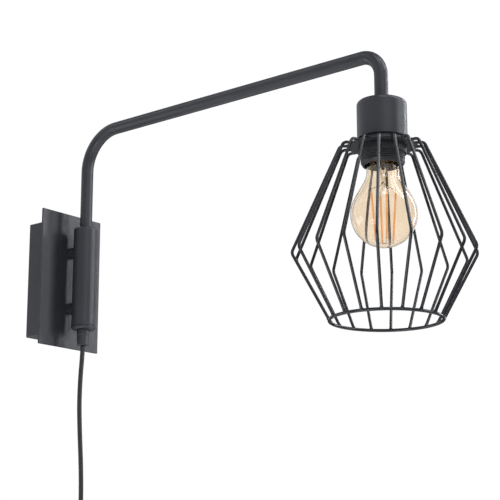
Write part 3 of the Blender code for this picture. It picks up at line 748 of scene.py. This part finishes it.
# Tie round the hank: a flat strap with a small head.
hank_w = 2 * (FOLD_R + CORD_D / 2) + 0.1
hank_t = HANK_TURNS * TURN_PITCH + CORD_D + 0.4
HANK_Y = CORD_Y + TURN_PITCH * HANK_TURNS / 2
HANK_MID = HANK_TOP - HANK_L / 2
tx, ty = hank_w / 2 + 0.1, hank_t / 2 + 0.1
outer_line = outline(
    [(-tx - 1.2, -ty - 1.2, 3.6), (tx + 1.2, -ty - 1.2, 3.6), (tx + 1.2, ty + 1.2, 3.6),
     (-tx - 1.2, ty + 1.2, 3.6)], step=9,
)
inner_line = outline(
    [(-tx, -ty, 2.4), (tx, -ty, 2.4), (tx, ty, 2.4), (-tx, ty, 2.4)], step=9
)
tie = to_object(
    "tie_strap", extrude(outer_line, -5, 5, 2), PLASTIC, "root", ("hank_tie",),
    (CORD_X, HANK_Y, HANK_MID),
)
cut(tie, cutter(extrude(inner_line, -9, 9, 2), (CORD_X, HANK_Y, HANK_MID)))
bm = bmesh.new()
bm.from_mesh(tie.data)
bmesh.ops.remove_doubles(bm, verts=bm.verts, dist=1e-7)
round_edges(bm, 0.4 * MM, 2, 60)
bm.to_mesh(tie.data)
bm.free()
tie.data.shade_smooth()
tie.data.set_sharp_from_angle(angle=math.radians(32))
even(tie)
tie_head = to_object(
    "tie_head",
    round_edges(block((-5.5, -2.6, -6.2), (5.5, 0.4, 6.2)), 0.8, 4),
    PLASTIC, "root", (),
    (CORD_X + 6.0, HANK_Y - ty - 1.0, HANK_MID),
)
even(tie_head)

# Plug: a flat body that narrows to a ribbed strain relief, and two pins.
PLUG_LOW = PLUG_TOP - PLUG_RELIEF - PLUG_BODY
line = outline(
    [
        (-17.0, PLUG_LOW, 1.5), (17.0, PLUG_LOW, 1.5), (17.5, PLUG_LOW + 12, 8),
        (9.0, PLUG_LOW + PLUG_BODY, 4), (-9.0, PLUG_LOW + PLUG_BODY, 4),
        (-17.5, PLUG_LOW + 12, 8),
    ],
    step=8,
)
bm = extrude(line, -6.8, 6.8, 1)
round_edges(
    bm, 2.2, 5, 50,
    lambda e: abs(e.verts[0].co.y - e.verts[1].co.y) < 1e-4,
)
plug = to_object(
    "plug_moulding", bm, PLASTIC, "root", ("plug_body",),
    (CORD_X, PLUG_Y, 0),
)
even(plug)
# relief: a taper with five ribs
points = [(2.45, PLUG_TOP), (3.1, PLUG_TOP, 0.4)]
for k in range(5):
    z = PLUG_TOP - 1.8 - 2.6 * k
    r = 3.3 + 1.6 * (PLUG_TOP - z) / PLUG_RELIEF
    points += [(r, z, 0.35), (r, z - 1.4, 0.35), (r - 0.75, z - 1.55, 0.2),
               (r - 0.6, z - 2.45, 0.2)]
points += [(4.9, PLUG_TOP - PLUG_RELIEF - 0.6), (4.9, PLUG_TOP - PLUG_RELIEF - 4),
           (2.45, PLUG_TOP - PLUG_RELIEF - 4)]
relief = lathe("plug_strain_relief", points, PLASTIC, "root", (),
               (CORD_X, PLUG_Y, 0), steps=48, step=25)
for tag, x in (("left", -9.2), ("right", 9.2)):
    lathe(
            f"plug_pin_{tag}_metal",
            [(0, PLUG_LOW - 9.0), (1.9, PLUG_LOW - 9.0), (1.98, PLUG_LOW - 9.4, 0.1),
             (1.98, PLUG_LOW - PIN_L, 1.2), (0, PLUG_LOW - PIN_L)],
            NICKEL, "root", (f"plug_pin_{tag}",), (CORD_X + x, PLUG_Y, 0),
            steps=40,
        )
    lathe(
            f"plug_pin_{tag}_sleeve",
            [(0, PLUG_LOW + 0.6), (1.85, PLUG_LOW + 0.6), (1.85, PLUG_LOW - 9.0, 0.15),
             (0, PLUG_LOW - 9.0)],
            PLASTIC, "root", (), (CORD_X + x, PLUG_Y, 0), steps=40,
        )


# -------------------------------------------------------------------- wall unit
def screw(name, length, at, direction, replaced):
    """A pan-head M4 screw with a cross recess and a rolled thread."""
    def thread(r, z, t):
        if not (-length + 1.0 < z < -1.2 and r > 1.5):
            return 0.0
        return -0.16 + 0.16 * math.cos(2 * math.pi * (z / 0.7) - t)

    ob = lathe(
        name,
        [(0, 2.6), (1.6, 2.55), (3.3, 2.1, 1.5), (3.9, 1.2, 0.8), (3.9, 0.0, 0.15),
         (2.0, 0.0), (2.0, -length + 0.6, 0.1), (1.4, -length), (0, -length)],
        ZINC, None, steps=36, relief=thread, fine=(0.14, -length, 0.1),
        sharp=40.0,
    )
    cut(ob, *[cutter(b, (0, 0, 2.6)) for b in cross_recess(1.7, 2.1, 0.42)], sharp=40.0)
    turn = Vector(direction).to_track_quat("-Z", "Y").to_matrix().to_4x4()
    ob.data.transform(Matrix.Translation(Vector(at) * MM) @ turn)
    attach(ob, "root")
    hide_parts(replaced)
    return ob


GAP = 0.3
screw("screw_housing_top", 8.0, (0, HOUSING_SCREW_Y, BOX_H / 2 + 0.02), (0, 0, -1),
      "housing_screw_top")
screw("screw_housing_bottom", 8.0, (0, HOUSING_SCREW_Y, -BOX_H / 2 - 0.02), (0, 0, 1),
      "housing_screw_bottom")
for tag, z in (("upper", STANDOFF_Z), ("lower", -STANDOFF_Z)):
    screw(
        f"screw_standoff_{tag}",
        AXIS_Y * -1 - SLEEVE_R + 2.6 - (BOX_D - BOX_WALL - GAP),
        (0, -BOX_D + BOX_WALL + 0.02, z), (0, -1, 0), f"standoff_screw_{tag}",
    )

# Housing: folded sheet, with the folds' outside radius, open to the wall.
box = to_object(
    "wall_box",
    round_edges(
        block((-BOX_W / 2, -BOX_D, -BOX_H / 2), (BOX_W / 2, 0, BOX_H / 2)), 1.1, 4, 30,
        lambda e: not all(abs(v.co.y) < 1e-4 for v in e.verts),
    ),
    COAT, "root", ("wall_housing",),
)
inside = round_edges(
    block(
        (-BOX_W / 2 + BOX_WALL, -BOX_D + BOX_WALL, -BOX_H / 2 + BOX_WALL),
        (BOX_W / 2 - BOX_WALL, 10, BOX_H / 2 - BOX_WALL),
    ), 0.5, 2,
)
cut(
    box,
    cutter(inside),
    cutter(pin((0, HOUSING_SCREW_Y, -80), (0, HOUSING_SCREW_Y, 80), 2.2)),
    cutter(pin((0, -20, STANDOFF_Z), (0, -35, STANDOFF_Z), 2.2)),
    cutter(pin((0, -20, -STANDOFF_Z), (0, -35, -STANDOFF_Z), 2.2)),
)
even(box)

plate = to_object(
    "wall_front_plate",
    round_edges(
        round_edges(
            block(
                (-PLATE_W / 2, PLATE_FRONT_Y, -PLATE_H / 2),
                (PLATE_W / 2, PLATE_FRONT_Y + PLATE_T, PLATE_H / 2),
            ), 0.9, 3, 30, lambda e: abs(e.verts[0].co.y - e.verts[1].co.y) > 1,
        ), 0.45, 3, 60,
    ),
    COAT, "root", ("front_plate",),
)
cut(
    plate,
    cutter(pin((0, -20, STANDOFF_Z), (0, -35, STANDOFF_Z), 2.2)),
    cutter(pin((0, -20, -STANDOFF_Z), (0, -35, -STANDOFF_Z), 2.2)),
)
even(plate)

# Sleeve, with its round top edge and the hole of the stop screw at the back.
sleeve = lathe(
    "swing_sleeve",
    [
        (TUBE_R + 0.4, SLEEVE_TOP, 0.3), (SLEEVE_R, SLEEVE_TOP, 3.6),
        (SLEEVE_R, SLEEVE_BOTTOM, 0.35), (SLEEVE_BORE_R, SLEEVE_BOTTOM, 0.2),
        (SLEEVE_BORE_R, SLEEVE_TOP - 4.0), (TUBE_R + 0.4, SLEEVE_TOP - 4.0),
    ],
    COAT, "root", ("pivot_sleeve",), (0, AXIS_Y, 0), steps=128, step=9,
)
cut(sleeve, cutter(pin((0, AXIS_Y + SLEEVE_R + 3, -16), (0, AXIS_Y + 7, -16), 2.15)))
even(sleeve)
for tag, z in (("upper", STANDOFF_Z), ("lower", -STANDOFF_Z)):
    bm = pin((0, PLATE_FRONT_Y + 0.05, z), (0, AXIS_Y + SLEEVE_R - 3, z), STANDOFF_R, 72)
    round_edges(bm, 0.35, 3, 60, lambda e: all(v.co.y > -33 for v in e.verts))
    post = to_object(f"spacer_{tag}", bm, COAT, "root", (f"standoff_{tag}",))
    cut(post, cutter(pin((0, AXIS_Y, -60), (0, AXIS_Y, 60), SLEEVE_R + 0.02, 128)))
    even(post)

# Grub screw with a hexagon socket.
grub = lathe(
    "stop_grub_screw",
    [(0, 0), (2.0, 0, 0.2), (2.0, -3.0, 0.2), (1.4, -3.4), (1.4, -4.3, 0.3), (0, -4.3)],
    ZINC, None, steps=36, fine=(0.14, -3.2, 0.1),
    relief=lambda r, z, t: -0.14 + 0.14 * math.cos(2 * math.pi * z / 0.7 - t)
    if 1.7 < r and -2.8 < z < -0.3 else 0.0,
)
cut(grub, cutter(pin((0, 0, -1.8), (0, 0, 1.0), 1.15, 6)))
grub.data.transform(
    Matrix.Translation(Vector((0, AXIS_Y + SLEEVE_R - 0.3, -16.0)) * MM)
    @ Vector((0, -1, 0)).to_track_quat("-Z", "Y").to_matrix().to_4x4()
)
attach(grub, "root")
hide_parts("swing_stop_screw")

end_cap = lathe(
    "sleeve_cap",
    [
        (5.2, CAP_BOTTOM, 0.25), (SLEEVE_R, CAP_BOTTOM, 2.2),
        (SLEEVE_R, SLEEVE_BOTTOM - GAP, 0.35), (SLEEVE_BORE_R - 0.4, SLEEVE_BOTTOM - GAP),
        (SLEEVE_BORE_R - 0.4, SLEEVE_BOTTOM + 4, 0.4), (5.2, SLEEVE_BOTTOM + 4),
    ],
    COAT, "root", ("sleeve_end_cap",), (0, AXIS_Y, 0), steps=128, step=9,
)
even(end_cap)
gland = lathe(
    "cord_outlet_gland",
    [
        (2.9, GLAND_BOTTOM + 1.2, 0.4), (4.1, GLAND_BOTTOM, 0.5), (6.1, GLAND_BOTTOM, 0.7),
        (6.1, CAP_BOTTOM - 6.4, 0.2), (6.5, CAP_BOTTOM - 6.0, 0.3),
        (6.5, CAP_BOTTOM - 0.05, 0.3), (4.8, CAP_BOTTOM - 0.05), (4.8, SLEEVE_BOTTOM + 5),
        (2.9, SLEEVE_BOTTOM + 5),
    ],
    COAT, "root", ("cord_gland",), (0, AXIS_Y, 0), steps=96, step=10,
)
even(gland)
for node, mat in (
    ("wall_bracket", ZINC), ("sleeve_top_bush", NYLON), ("sleeve_bottom_bush", NYLON),
    ("arm_stop_collar", ZINC), ("inner_cable", PVC), ("holder_nipple", BRASS),
    ("centre_contact", BRASS), ("holder_insert", CERAMIC),
):
    dress(node, mat)

# ------------------------------------------------------------------------- arm
riser_top, arm_end = Vector((0, 0, ARM_Z)), Vector((0, -REACH, ARM_Z))
bottom = Vector((0, -REACH, 0))
ends = (Vector((0, 0, RISER_END)), Vector((0, -REACH, CUP_TOP - 0.1)))
middle = corner(ends[0], riser_top, arm_end, BEND_1, 30)
middle += corner(riser_top, arm_end, bottom, BEND_2, 24)
bm = bmesh.new()


def step_in(a, b, distance):
    return a + (b - a).normalized() * distance


path = [ends[0], step_in(ends[0], riser_top, 0.15), step_in(ends[0], riser_top, 0.5)]
path += [ends[0].lerp(middle[0], t) for t in (0.3, 0.6, 0.9)]
path += middle
# a small weld bead where the drop meets the cup
bead = [(2.0, 0.0), (1.5, 0.03), (1.2, 0.12), (0.9, 0.3), (0.6, 0.5), (0.3, 0.75), (0.0, 0.95)]
tail = [ends[1] + Vector((0, 0, h)) for h, _ in bead]
path += tail
outer_r = [TUBE_R - 0.35, TUBE_R - 0.1, TUBE_R] + [TUBE_R] * (len(path) - 3 - len(bead))
outer_r += [TUBE_R + extra for _, extra in bead]
inner_r = [TUBE_BORE_R] * len(path)
outer = sweep(bm, path, outer_r, 64, close=False)
inner = sweep(bm, path, inner_r, 64, close=False)
for e in (0, -1):
    for k in range(64):
        n = (k + 1) % 64
        bm.faces.new((outer[e][k], outer[e][n], inner[e][n], inner[e][k]))
arm = to_object("arm_bent_tube", bm, COAT, "arm", ("arm_tube",), (0, AXIS_Y, 0))
even(arm)

# ------------------------------------------------------------------- lamp head
AT = (0, HEAD_Y, 0)
cup = lathe(
    "holder_cover_cup",
    [
        (5.0, CUP_TOP), (CUP_R, CUP_TOP, CUP_FILLET), (CUP_R, CUP_BOTTOM, 0.4),
        (CUP_R - CUP_WALL, CUP_BOTTOM, 0.4),
        (CUP_R - CUP_WALL, CUP_TOP - CUP_WALL, CUP_FILLET - 1.2), (5.0, CUP_TOP - CUP_WALL),
    ],
    COAT, "arm", ("socket_cup",), AT, steps=160, step=7,
)
even(cup)

THREAD_PITCH = 1.8


def skirt_thread(r, z, t):
    """The skirt's outside thread, a round ridge that runs out at both ends."""
    if r < 19.0 or not 51.9 < z < 65.5:
        return 0.0
    phase = (z / THREAD_PITCH - t / (2 * math.pi)) % 1.0
    ridge = 0.5 - 0.5 * math.cos(2 * math.pi * phase)
    edge = min(1.0, (z - 51.9) / 0.8, (65.5 - z) / 0.8)
    return -0.75 * (1 - ridge) ** 1.3 * max(edge, 0.0)


holder = lathe(
    "threaded_lamp_holder",
    [
        (5.2, 104.0), (16.5, 104.0, 1.0), (20.7, 99.0, 1.0), (20.7, 68.7, 0.3),
        (SKIRT_R, 68.4), (SKIRT_R, 66.4), (19.9, 66.0), (19.9, 51.8, 0.6),
        (18.3, 49.0, 0.5), (16.3, 49.0, 0.5), (16.3, 55.0, 0.3),
        (14.5, 56.5, 0.3), (14.5, 95.0), (5.2, 98.0),
    ],
    BLACK, "arm", ("lamp_holder",), AT, steps=128,
    relief=skirt_thread, fine=(0.2, 51.0, 66.2), sharp=40.0,
)


def e27(r, z, t):
    """E27 thread: a round thread of 3.63 mm pitch."""
    if r < 11.5 or not 55.6 < z < 73.4:
        return 0.0
    edge = max(0.0, min(1.0, (z - 55.6) / 1.5, (73.4 - z) / 1.5))
    return -0.55 * edge * (0.5 - 0.5 * math.cos(2 * math.pi * (z / 3.63) - t))


shell = lathe(
    "brass_screw_shell",
    [(14.1, 80.0, 0.2), (14.1, 58.0, 0.2), (13.55, 58.0, 0.2), (13.55, 80.0, 0.2)],
    BRASS, "arm", ("screw_shell",), AT, steps=96,
    relief=lambda r, z, t: (0.3 if 59 < z < 79 else 0.0)
    * (-0.5 - 0.5 * math.cos(2 * math.pi * z / 3.63 - t)),
    fine=(0.4, 58.0, 80.0), sharp=50.0,
)


def grips(r, z, t):
    """Finger grips round the ring nut."""
    if r < 20.9 or not 60.4 < z < 66.1:
        return 0.0
    return -0.4 * (0.5 + 0.5 * math.cos(36 * t)) ** 3


ring_nut = lathe(
    "shade_ring",
    [(21.6, 66.6, 0.5), (21.6, 59.7, 0.7), (19.95, 59.7, 0.4), (19.95, 66.6, 0.2)],
    BLACK, "arm", ("shade_ring_nut",), AT, steps=240, relief=grips,
    fine=(0.6, 59.5, 66.8), sharp=45.0,
)

# --------------------------------------------------------------- the wire cage
hub = lathe(
    "cage_hub_disc",
    [
        (HUB_R, HUB_TOP, 0.5), (HUB_R, HUB_TOP - HUB_T, 0.5),
        (SKIRT_R + 0.4, HUB_TOP - HUB_T, 0.15), (SKIRT_R + 0.4, HUB_TOP, 0.15),
    ],
    COAT, "arm", ("cage_hub_plate",), AT, steps=144,
)
even(hub)

wire_z = HUB_TOP - HUB_T / 2
start, shoulder = Vector((HUB_R - 0.8, 0, wire_z)), Vector((38.2, 0, wire_z))
knee, ring_point = Vector((KNEE_R, 0, KNEE_Z)), Vector((RING_R, 0, RING_Z))
low_dir = (ring_point - knee).normalized()
end = ring_point - low_dir * 0.2
path, radii = [], []
# the weld's fillet at the hub, then plain wire, then the fillet at the ring
for back, extra in ((0.0, 0.15), (0.5, 0.32), (1.0, 0.38), (1.5, 0.25), (2.1, 0.08), (2.8, 0.0)):
    path.append(start + Vector((back, 0, 0)))
    radii.append(WIRE_R + extra)
curve = corner(start, shoulder, knee, 5.0, 10)
curve += [curve[-1].lerp(knee, t) for t in (0.33, 0.66)]
curve += corner(shoulder, knee, end, 6.0, 10)
curve += [curve[-1].lerp(end, 0.5)]
path += curve
radii += [WIRE_R] * len(curve)
for back, extra in ((3.4, 0.0), (2.6, 0.06), (2.0, 0.2), (1.4, 0.34), (0.7, 0.36), (0.0, 0.1)):
    path.append(end - low_dir * back)
    radii.append(WIRE_R + extra)
bm = bmesh.new()
sweep(bm, path, radii, 20)
for k in range(WIRES):
    one = bm.copy()
    bmesh.ops.rotate(
        one, matrix=Matrix.Rotation(math.radians(WIRE_PHASE + 360.0 * k / WIRES), 3, "Z"),
        verts=one.verts,
    )
    to_object(
        f"bent_wire_{k + 1:02d}", one, WIRE_COAT, "arm", (f"cage_wire_{k + 1:02d}",),
        AT, sharp=60.0,
    )
bm.free()
bm = bmesh.new()
loop = [
    Vector((RING_R * math.cos(t), RING_R * math.sin(t), RING_Z))
    for t in [2 * math.pi * k / 192 for k in range(192)]
]
rows = []
for k in range(192):
    t = 2 * math.pi * k / 192
    rows.append(
        [
            bm.verts.new(
                (
                    (RING_R + RING_WIRE_R * math.cos(2 * math.pi * s / 20)) * math.cos(t),
                    (RING_R + RING_WIRE_R * math.cos(2 * math.pi * s / 20)) * math.sin(t),
                    RING_Z + RING_WIRE_R * math.sin(2 * math.pi * s / 20),
                )
            )
            for s in range(20)
        ]
    )
for k in range(192):
    a, b = rows[k], rows[(k + 1) % 192]
    for s in range(20):
        n = (s + 1) % 20
        bm.faces.new((a[s], a[n], b[n], b[s]))
to_object(
    "cage_lower_ring", bm, WIRE_COAT, "arm", ("cage_bottom_ring",), AT, sharp=60.0
)


# ------------------------------------------------------------------------ bulb
def bulb_outline(radius, neck, globe=40, shoulder=24):
    """(radius, z) from the tip of an A60 globe up to the neck inside its cap."""
    points = []
    for k in range(globe + 1):
        t = math.radians(-90 + (26.3 + 90) * k / globe)
        points.append(Vector((radius * math.cos(t), BULB_Z + radius * math.sin(t))))
    points[0].x = 0.0
    a, d = points[-1], Vector((neck, 43.0))
    t = math.radians(26.3)
    b = a + Vector((-math.sin(t), math.cos(t))) * 12.5
    c = d + Vector((0, -8.0))
    for k in range(1, shoulder + 1):
        s = k / shoulder
        points.append(
            a * (1 - s) ** 3 + b * 3 * s * (1 - s) ** 2 + c * 3 * s * s * (1 - s) + d * s**3
        )
    return points


def neck_in(neck):
    return outline(
        [(neck, 43.0), (neck - 0.4, 47.5, 3.0), (neck - 3.0, 53.0, 3.0),
         (neck - 3.4, 56.0, 1.0), (neck - 3.4, 70.0)], closed=False, step=10,
    )[1:]


WALL = 0.7
line = bulb_outline(BULB_R, 15.1) + neck_in(15.1)
line += [Vector((p.x, p.y)) for p in (neck_in(15.1 - WALL)[::-1])]
line += bulb_outline(BULB_R - WALL, 15.1 - WALL)[::-1]
envelope = to_object(
    "bulb_envelope", lathe_mesh(line, 120), AMBER, "bulb", ("bulb_glass",),
    AT, sharp=60.0,
)
cap = lathe(
    "bulb_threaded_cap",
    [
        (12.1, 54.3, 0.2), (12.9, 54.3, 0.2), (12.9, 73.8, 0.5), (8.6, 77.2, 1.0),
        (5.0, 78.0, 0.2), (5.0, 77.2), (8.2, 76.4), (12.1, 72.8),
    ],
    BRASS, "bulb", ("bulb_screw_cap",), AT, steps=96, relief=e27,
    fine=(0.36, 54.5, 73.6), sharp=50.0,
)
lathe(
    "bulb_basing_cement",
    [(11.75, 55.6, 0.1), (12.0, 55.6, 0.1), (12.0, 71.5, 0.1), (11.75, 71.5, 0.1)],
    CEMENT, "bulb", (), AT, steps=64,
)
contact = lathe(
    "bulb_foot_button",
    [(0, 80.0), (3.2, 79.8, 0.6), (4.6, 78.8, 0.6), (4.6, 76.6, 0.3), (0, 76.6)],
    NICKEL, "bulb_foot", ("bulb_foot_contact",), AT, steps=48,
)
stem = lathe(
    "bulb_glass_stem",
    [
        (0, 41.0), (1.5, 42.5, 0.8), (2.5, 50.0, 5.0), (5.8, 60.2, 5.0), (10.3, 68.0, 0.2),
        (10.9, 67.5, 0.2), (6.6, 60.0, 5.0), (3.3, 50.0, 6.0), (2.4, 41.0, 4.0),
        (1.7, 36.0, 2.0), (1.4, 27.5, 1.0), (0, 25.6),
    ],
    STEM_GLASS, "bulb", ("bulb_stem",), AT, steps=48, step=10, sharp=60.0,
)
strips, wires = bmesh.new(), bmesh.new()
for k in range(4):
    t = math.radians(FILAMENT_PHASE + 90 * k)
    out = Vector((math.cos(t), math.sin(t), 0))
    top = out * FILAMENT_TOP_R + Vector((0, 0, FILAMENT_TOP))
    foot = out * FILAMENT_LOW_R + Vector((0, 0, FILAMENT_LOW))
    ahead = (foot - top).normalized()
    length = (foot - top).length
    stops = ((0.0, 0.35), (0.25, 0.7), (0.8, 0.95), (3.0, 0.95), (length / 2, 0.95),
             (length - 3.0, 0.95), (length - 0.8, 0.95), (length - 0.25, 0.7),
             (length, 0.35))
    sweep(strips, [top + ahead * s for s, _ in stops], [r for _, r in stops], 16)
    # the lead at the top comes out of the stem, bends over and meets the strip
    a = Vector((out.x * 1.1, out.y * 1.1, 34.0))
    b = Vector((out.x * 2.4, out.y * 2.4, 30.5))
    c = top - ahead * 3.0
    way = [a] + corner(a, b, c, 1.5, 5) + corner(b, c, top, 1.2, 5) + [top + ahead * 0.6]
    sweep(wires, way, 0.28, 8)
    d = foot + ahead * 1.6
    e = Vector((0, 0, FILAMENT_LOW - 2.4))
    way = [foot - ahead * 0.6] + corner(foot, d, e, 0.9, 5) + [e + (d - e).normalized() * 0.4]
    sweep(wires, way, 0.28, 8)
knot = lathe_mesh(
    outline([(0, FILAMENT_LOW - 1.7), (0.9, FILAMENT_LOW - 1.9, 0.5),
             (0.9, FILAMENT_LOW - 3.0, 0.5), (0, FILAMENT_LOW - 3.1)], False), 20
)
mesh = bpy.data.meshes.new("knot")
knot.to_mesh(mesh)
knot.free()
wires.from_mesh(mesh)
bpy.data.meshes.remove(mesh)
to_object(
    "filament_strips", strips, FILAMENT, "bulb", ("bulb_filaments",), AT,
    sharp=50.0,
)
to_object("filament_leads", wires, WIRE_METAL, "bulb", (), AT, sharp=60.0)

# ------------------------------------------------------------ floor and lights
FLOOR_Z = -1.2
bm = bmesh.new()
bmesh.ops.create_grid(bm, x_segments=8, y_segments=8, size=2600.0)
floor = to_object("floor", bm, surface("pale_floor", (0.86, 0.86, 0.86), 0.7, spread=0.015,
                  patch=2.0, grain=400.0), None, at=(0, 0, FLOOR_Z / MM))

world = bpy.data.worlds.new("studio")
bpy.context.scene.world = world
world.use_nodes = True
background = world.node_tree.nodes["Background"]
background.inputs["Color"].default_value = (1.0, 1.0, 1.0, 1.0)
background.inputs["Strength"].default_value = 1.02
world.cycles_visibility.diffuse = False
world.cycles_visibility.glossy = False

TARGET = Vector((0.0, -0.25, 0.02))
TOWARD = Vector((-math.sin(YAW), -math.cos(YAW), 0))  # towards the camera, level
RIGHT = Vector((math.cos(YAW), -math.sin(YAW), 0))


LEVEL = 0.86


def softbox(turn, height, away, width, tall, power, target=TARGET):
    """A soft light, `turn` degrees round from the camera's side towards the right and
    `height` degrees above level, seen from the target."""
    t, h = math.radians(turn), math.radians(height)
    at = target + away * (
        (TOWARD * math.cos(t) + RIGHT * math.sin(t)) * math.cos(h)
        + Vector((0, 0, math.sin(h)))
    )
    data = bpy.data.lights.new("softbox", "AREA")
    data.shape = "RECTANGLE"
    data.size, data.size_y = width, tall
    data.energy = power * LEVEL
    data.color = (0.965, 0.99, 1.05)
    ob = bpy.data.objects.new("softbox", data)
    ob.location = at
    ob.rotation_euler = (target - at).to_track_quat("-Z", "Y").to_euler()
    ob.visible_camera = False
    ob.visible_transmission = False
    bpy.context.scene.collection.objects.link(ob)
    return ob


# A wide ring of weak light, and the main pair at the right.
for turn, width, power in (
    (-150, 0.9, 4.6), (-118, 0.9, 4.4), (-85, 1.0, 2.8), (-50, 1.0, 3.4), (-15, 1.0, 3.7),
    (20, 1.0, 7.5), (45, 0.6, 1.4), (150, 0.5, 3.6),
):
    softbox(turn, 18, 1.8, width, 1.6, power)
softbox(82, 18, 1.8, 0.55, 1.6, 12.9)
softbox(80, 50, 1.8, 0.7, 0.9, 11.2)
softbox(-85, 50, 1.8, 1.2, 0.9, 4.4)
softbox(180, 50, 1.8, 1.2, 0.9, 2.0)
softbox(0, 88, 1.8, 1.6, 1.6, 1.5)
softbox(-100, -12, 1.8, 1.2, 0.5, 6.3)
HEAD = Vector((0.0, HEAD_Y, 60.0)) * MM
# a strip that edges the right-hand side of the lamp head
softbox(127, 14, 0.7, 0.10, 0.6, 2.4, HEAD)
# from high in front on the cage's shoulders, and from low at the left on its skirt
softbox(8, 64, 1.3, 0.45, 0.4, 4.5, HEAD)
softbox(-45, -36, 0.85, 0.4, 0.25, 1.5, HEAD)

# and a wash of light on the floor, whose bounce lifts the undersides
wash = bpy.data.lights.new("floor_wash", "AREA")
wash.shape, wash.size, wash.energy = "SQUARE", 9.0, 155.0
wash_ob = bpy.data.objects.new("floor_wash", wash)
wash_ob.location = (0.0, -0.4, FLOOR_Z + 0.14)
wash_ob.visible_camera = wash_ob.visible_glossy = wash_ob.visible_transmission = False
bpy.context.scene.collection.objects.link(wash_ob)

view = bpy.context.scene.view_settings
view.view_transform = "Standard"
view.look = "None"
view.exposure, view.gamma = 0.0, 1.0

bpy.context.view_layer.update()
